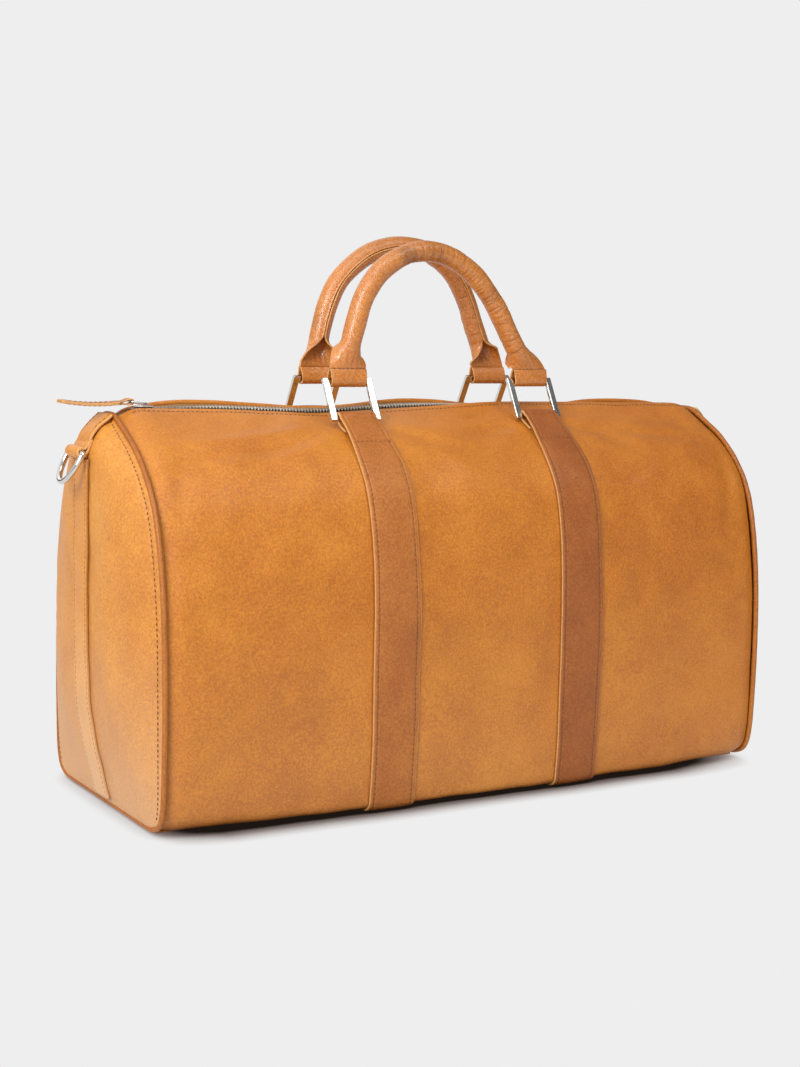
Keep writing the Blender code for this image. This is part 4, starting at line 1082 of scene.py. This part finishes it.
def slider_piece():
    """Two shouldered plates, above and below the teeth, and an arched crown."""
    x0, _, hole_z = JOINTS["zip_link_hinge"]["pos_m"]
    plate = [(-0.0064, -0.0030), (-0.0058, -0.0045), (-0.0035, -0.0049), (-0.0005, -0.0040),
             (0.0035, -0.0034), (0.0060, -0.0031), (0.0064, -0.0020)]
    plate += [(x, -y) for x, y in reversed(plate)]
    bm = bmesh.new()
    for which in ("upper", "lower"):
        face = bm.faces.new([bm.verts.new((x0 + x, y, TEETH_Z + SLIDER[which])) for x, y in plate])
        moved = bmesh.ops.extrude_face_region(bm, geom=[face])["geom"]
        top = [g for g in moved if isinstance(g, bmesh.types.BMVert)]
        bmesh.ops.translate(bm, vec=(0, 0, SLIDER["plate"]), verts=top)
    bmesh.ops.recalc_face_normals(bm, faces=bm.faces)
    mesh = block_mesh(bm, "zip_slider_metal")
    bevel(place("zip_slider_metal", mesh, "nickel", "zip_slider", ["zip_slider"]), 0.0003, 3)
    mesh.shade_smooth()
    mesh.set_sharp_from_angle(angle=math.radians(50))
    plate_top = TEETH_Z + SLIDER["upper"] + 0.9 * SLIDER["plate"]
    crown_top = hole_z + 0.0013
    path = fine_curve([(-0.0036, plate_top), (-0.0033, plate_top + 0.0010), (-0.0022, crown_top - 0.0003),
                       (-0.0008, crown_top), (0.0012, crown_top - 0.0001), (0.0026, crown_top - 0.0009),
                       (0.0036, plate_top + 0.0008), (0.0040, plate_top)], 40)
    y = np.array([-0.0011, -0.0009, 0.0, 0.0009, 0.0011])
    drop = np.array([0.0003, 0.0, 0.0, 0.0, 0.0003])
    points = points_of(x0 + path[:, :1], y, path[:, 1:] - drop[None, :])
    mesh = grid_mesh("zip_crown_metal", points, flip=True)
    place("zip_crown_metal", mesh, "nickel", "zip_slider", thickness=SLIDER["crown"])


def link_piece():
    x0, _, z0 = JOINTS["zip_link_hinge"]["pos_m"]
    x1, _, z1 = JOINTS["zip_tab_hinge"]["pos_m"]
    half = LINK_HALF_WIDTH
    corners = np.array([(x0, -half, z0), (x0, half, z0), (x1, half, z1), (x1, -half, z1)])
    share = np.linspace(0, 1, 12, endpoint=False)[:, None]
    points = np.concatenate([a * (1 - share) + b * share for a, b in zip(corners, np.roll(corners, -1, 0))])
    tube("zip_pull_link_metal", relaxed(points, 4), LINK_WIRE, "nickel", "zip_pull_link",
         ["zip_pull_link"], closed=True, around=14)


def pull_piece():
    """A strip of leather folded round the link and sewn to itself."""
    x0, _, z0 = JOINTS["zip_tab_hinge"]["pos_m"]
    droop = curve(PULL_DROOP, np.linspace(0.25, len(PULL_DROOP) - 1, 90))
    gap = PULL["ply"] / 2 + 0.00004
    apart = (gap + (PULL["eye"] - gap) * bell(droop[:, 0] + 0.0014, 0.0032))[:, None] * (0.0, 1.0)
    eye = arc((0, 0), PULL["eye"], -105, 210, 20)
    path = resample(np.vstack([(droop - apart)[::-1], eye, droop + apart]), 0.0006)
    reach = -path[:, 0]
    half = PULL["neck"] / 2 + (PULL["width"] - PULL["neck"]) / 2 * smooth(reach, 0.0052, 0.0105)
    half = half - 0.0016 * smooth(reach, 0.0478, 0.0503) ** 2
    across, height, seam, edge = strap_columns(PULL["width"] / 2, PULL["seam"], 4)
    sewn = smooth(reach, 0.0085, 0.012)[:, None]
    base = points_of(x0 + path[:, :1], half[:, None] * across[None, :], z0 + path[:, 1:])
    outward = normals_of(base)
    outward *= 1 if outward[5, 5, 2] < 0 else -1
    points = base + outward * (0.55 * height[None, :, None] * sewn[..., None])
    # painted shade in the stitch grooves where the plies are sewn
    mesh = grid_mesh("zip_pull_leather", points, marks={"seam": 0.7 * seam[None, :] * sewn, "edge": edge})
    place("zip_pull_leather", mesh, "piping", "zip_pull_tab", ["zip_pull_tab"],
          PULL["ply"], 0.0, True)
    row_at = 1.0 - 2 * PULL["seam"] / PULL["width"]
    rows = []
    for column in (row_at, -row_at):
        for keep in (slice(6, 62), slice(-62, -6)):
            line = points_of(x0 + path[keep, 0], half[keep] * column, z0 + path[keep, 1])
            up = outward[keep, len(across) // 2]
            rows.append((line + up * (PULL["ply"] / 2 - 0.0001), up))
    stitches("zip_pull_thread", rows, "zip_pull_tab")


# ---------------------------------------------------------------- inside
def lining_piece():
    """The cloth bag inside the shell, loose enough to wrinkle."""
    x = np.linspace(-LINING["half_length"], LINING["half_length"], 70)
    where = np.linspace(0.6, 11.4, 60)
    wrinkle = 0.0007 * ripple(x[None, :], where[:, None] * 0.028, 0.035, 91)
    halves = []
    for face in (-1, 1):
        points = shell(x[None, :], where[:, None], face, -LINING["inset"])
        points[..., 2] = np.maximum(points[..., 2], LINING["floor"])
        points[..., 1] -= face * wrinkle
        halves.append(points)
    front, rear = halves
    across = np.linspace(-1, 1, 14)[1:-1, None, None]
    low = front[0][None] * (1 - across) / 2 + rear[0][None] * (1 + across) / 2
    mesh = grid_mesh("lining_cloth", np.concatenate([front[::-1], low, rear]))
    place("lining_cloth", mesh, "lining", "shell", ["lining"], LINING["cloth"], 0.0)


def plain_nodes():
    """CAD nodes that keep their own shape get their real material."""
    for node, material in {"base_board": "board", "zip_stop_left": "zip_metal",
                           "zip_stop_right": "zip_metal"}.items():
        mesh = frame["nodes"][node].data
        mesh.materials.clear()
        mesh.materials.append(MATERIALS[material])


# ---------------------------------------------------------------- studio
def floor_material():
    """White sweep that glows evenly, with a painted contact shadow close to whatever stands on it."""
    material = bpy.data.materials.new("floor_sweep")
    material.use_nodes = True
    tree = material.node_tree
    tree.nodes.clear()
    open_sky = shader_node(tree, "ShaderNodeAmbientOcclusion", {"Distance": 0.034}, samples=16).outputs["AO"]
    place_of = shader_node(tree, "ShaderNodeTexCoord").outputs["Object"]
    x = shader_node(tree, "ShaderNodeSeparateXYZ", {0: place_of}).outputs["X"]
    # the painted contact shadow fades out toward the bag's two ends
    left = spread(tree, x, -0.262, -0.205, 0.30, 1.0)
    right = spread(tree, x, 0.262, 0.175, 0.30, 1.0)
    under = math_node(tree, "SUBTRACT", 1.0, open_sky)
    cover = math_node(tree, "MULTIPLY", under, math_node(tree, "MULTIPLY", left, right))
    shade = ramp(tree, cover, [(0.12, BACKDROP), (0.30, (0.60, 0.56, 0.545)), (0.46, (0.22, 0.175, 0.16)),
                               (0.66, (0.012, 0.008, 0.006))])
    light = shader_node(tree, "ShaderNodeEmission", {"Color": shade, "Strength": 1.0}).outputs[0]
    shader_node(tree, "ShaderNodeOutputMaterial", {"Surface": light})
    return material


def camera():
    """Camera at the reference view: from the front left, a little above."""
    azimuth, elevation, roll = (math.radians(CAMERA[angle]) for angle in ("azimuth", "elevation", "roll"))
    ahead = Vector((-math.sin(azimuth) * math.cos(elevation), math.cos(azimuth) * math.cos(elevation),
                    -math.sin(elevation)))
    right = ahead.cross(Vector((0, 0, 1))).normalized()
    up = right.cross(ahead)
    turned_right = right * math.cos(roll) + up * math.sin(roll)
    turned_up = up * math.cos(roll) - right * math.sin(roll)
    data = bpy.data.cameras.new("camera")
    data.sensor_width = 36.0
    data.lens = CAMERA["lens"]
    obj = add_object("camera", data)
    basis = Matrix((turned_right, turned_up, -ahead)).transposed().to_4x4()
    obj.matrix_world = Matrix.Translation(CAMERA["place"]) @ basis
    bpy.context.scene.camera = obj


def soft_box(name, where, aim, size, power):
    """A square area light at `where`, facing `aim`."""
    data = bpy.data.lights.new(name, "AREA")
    data.size = size
    data.energy = power
    obj = add_object(name, data)
    obj.location = where
    obj.rotation_euler = (Vector(where) - Vector(aim)).to_track_quat("Z", "Y").to_euler()


def studio():
    scene = bpy.context.scene
    scene.view_settings.view_transform = "Standard"
    scene.world = bpy.data.worlds.new("studio")
    scene.world.use_nodes = True
    tree = scene.world.node_tree
    tree.nodes.clear()
    direction = shader_node(tree, "ShaderNodeTexCoord").outputs["Generated"]
    parts = shader_node(tree, "ShaderNodeSeparateXYZ", {0: direction}).outputs
    from_left = ramp(tree, spread(tree, parts["X"], -0.9, 0.9), [(0.0, 1.0), (0.70, 0.80), (0.80, 0.22)])
    behind = ramp(tree, spread(tree, parts["Y"], 0.1, 0.8), [(0.0, 1.0), (1.0, 3.0)])
    room = ramp(tree, spread(tree, parts["Z"], -0.3, 0.9), [(0.0, 0.34), (0.30, 0.40), (1.0, 0.58)])
    room = mix(tree, 1.0, mix(tree, 1.0, room, from_left, "MULTIPLY"), behind, "MULTIPLY")
    for middle, inner, outer, grey in ROOM_PATCHES:
        inputs = {0: direction, 1: middle}
        away = shader_node(tree, "ShaderNodeVectorMath", inputs, operation="DISTANCE").outputs["Value"]
        room = mix(tree, spread(tree, away, outer, inner), room, (grey,) * 3)
    seen = shader_node(tree, "ShaderNodeLightPath").outputs["Is Camera Ray"]
    colour = mix(tree, seen, room, (BACKDROP,) * 3)
    sky = shader_node(tree, "ShaderNodeBackground", {"Color": colour, "Strength": 1.0}).outputs[0]
    shader_node(tree, "ShaderNodeOutputWorld", {"Surface": sky})
    for light in LIGHTS:
        soft_box(*light)
    bm = bmesh.new()
    bmesh.ops.create_circle(bm, cap_ends=True, segments=64, radius=30.0)
    floor = add_object("floor", block_mesh(bm, "floor"))
    floor.location.z = FLOOR_Z
    floor.data.materials.append(floor_material())


# ---------------------------------------------------------------- the bag
camera()
studio()
panel_rows = {}
for face_name, node in (("front", "front_panel"), ("rear", "back_panel")):
    panel_rows[face_name] = panel(face_name, node)
    tape_piece(face_name)
    teeth_piece(face_name)
for side_name in SIDES:
    rows = end_panel_piece(side_name)
    piping_piece(side_name)
    rows += end_strip_piece(side_name) + end_tab_piece(side_name)
    stitches(f"end_{side_name}_thread", rows, "shell")
    d_ring_piece(side_name)
for face_name in FACES:
    rows = [panel_rows[face_name]]
    for side_name in SIDES:
        rows += band_piece(face_name, side_name)
        ring_piece(face_name, side_name)
    stitches(f"{face_name}_thread", rows, "shell")
    handle_piece(face_name)
base_piece()
slider_piece()
link_piece()
pull_piece()
lining_piece()
plain_nodes()
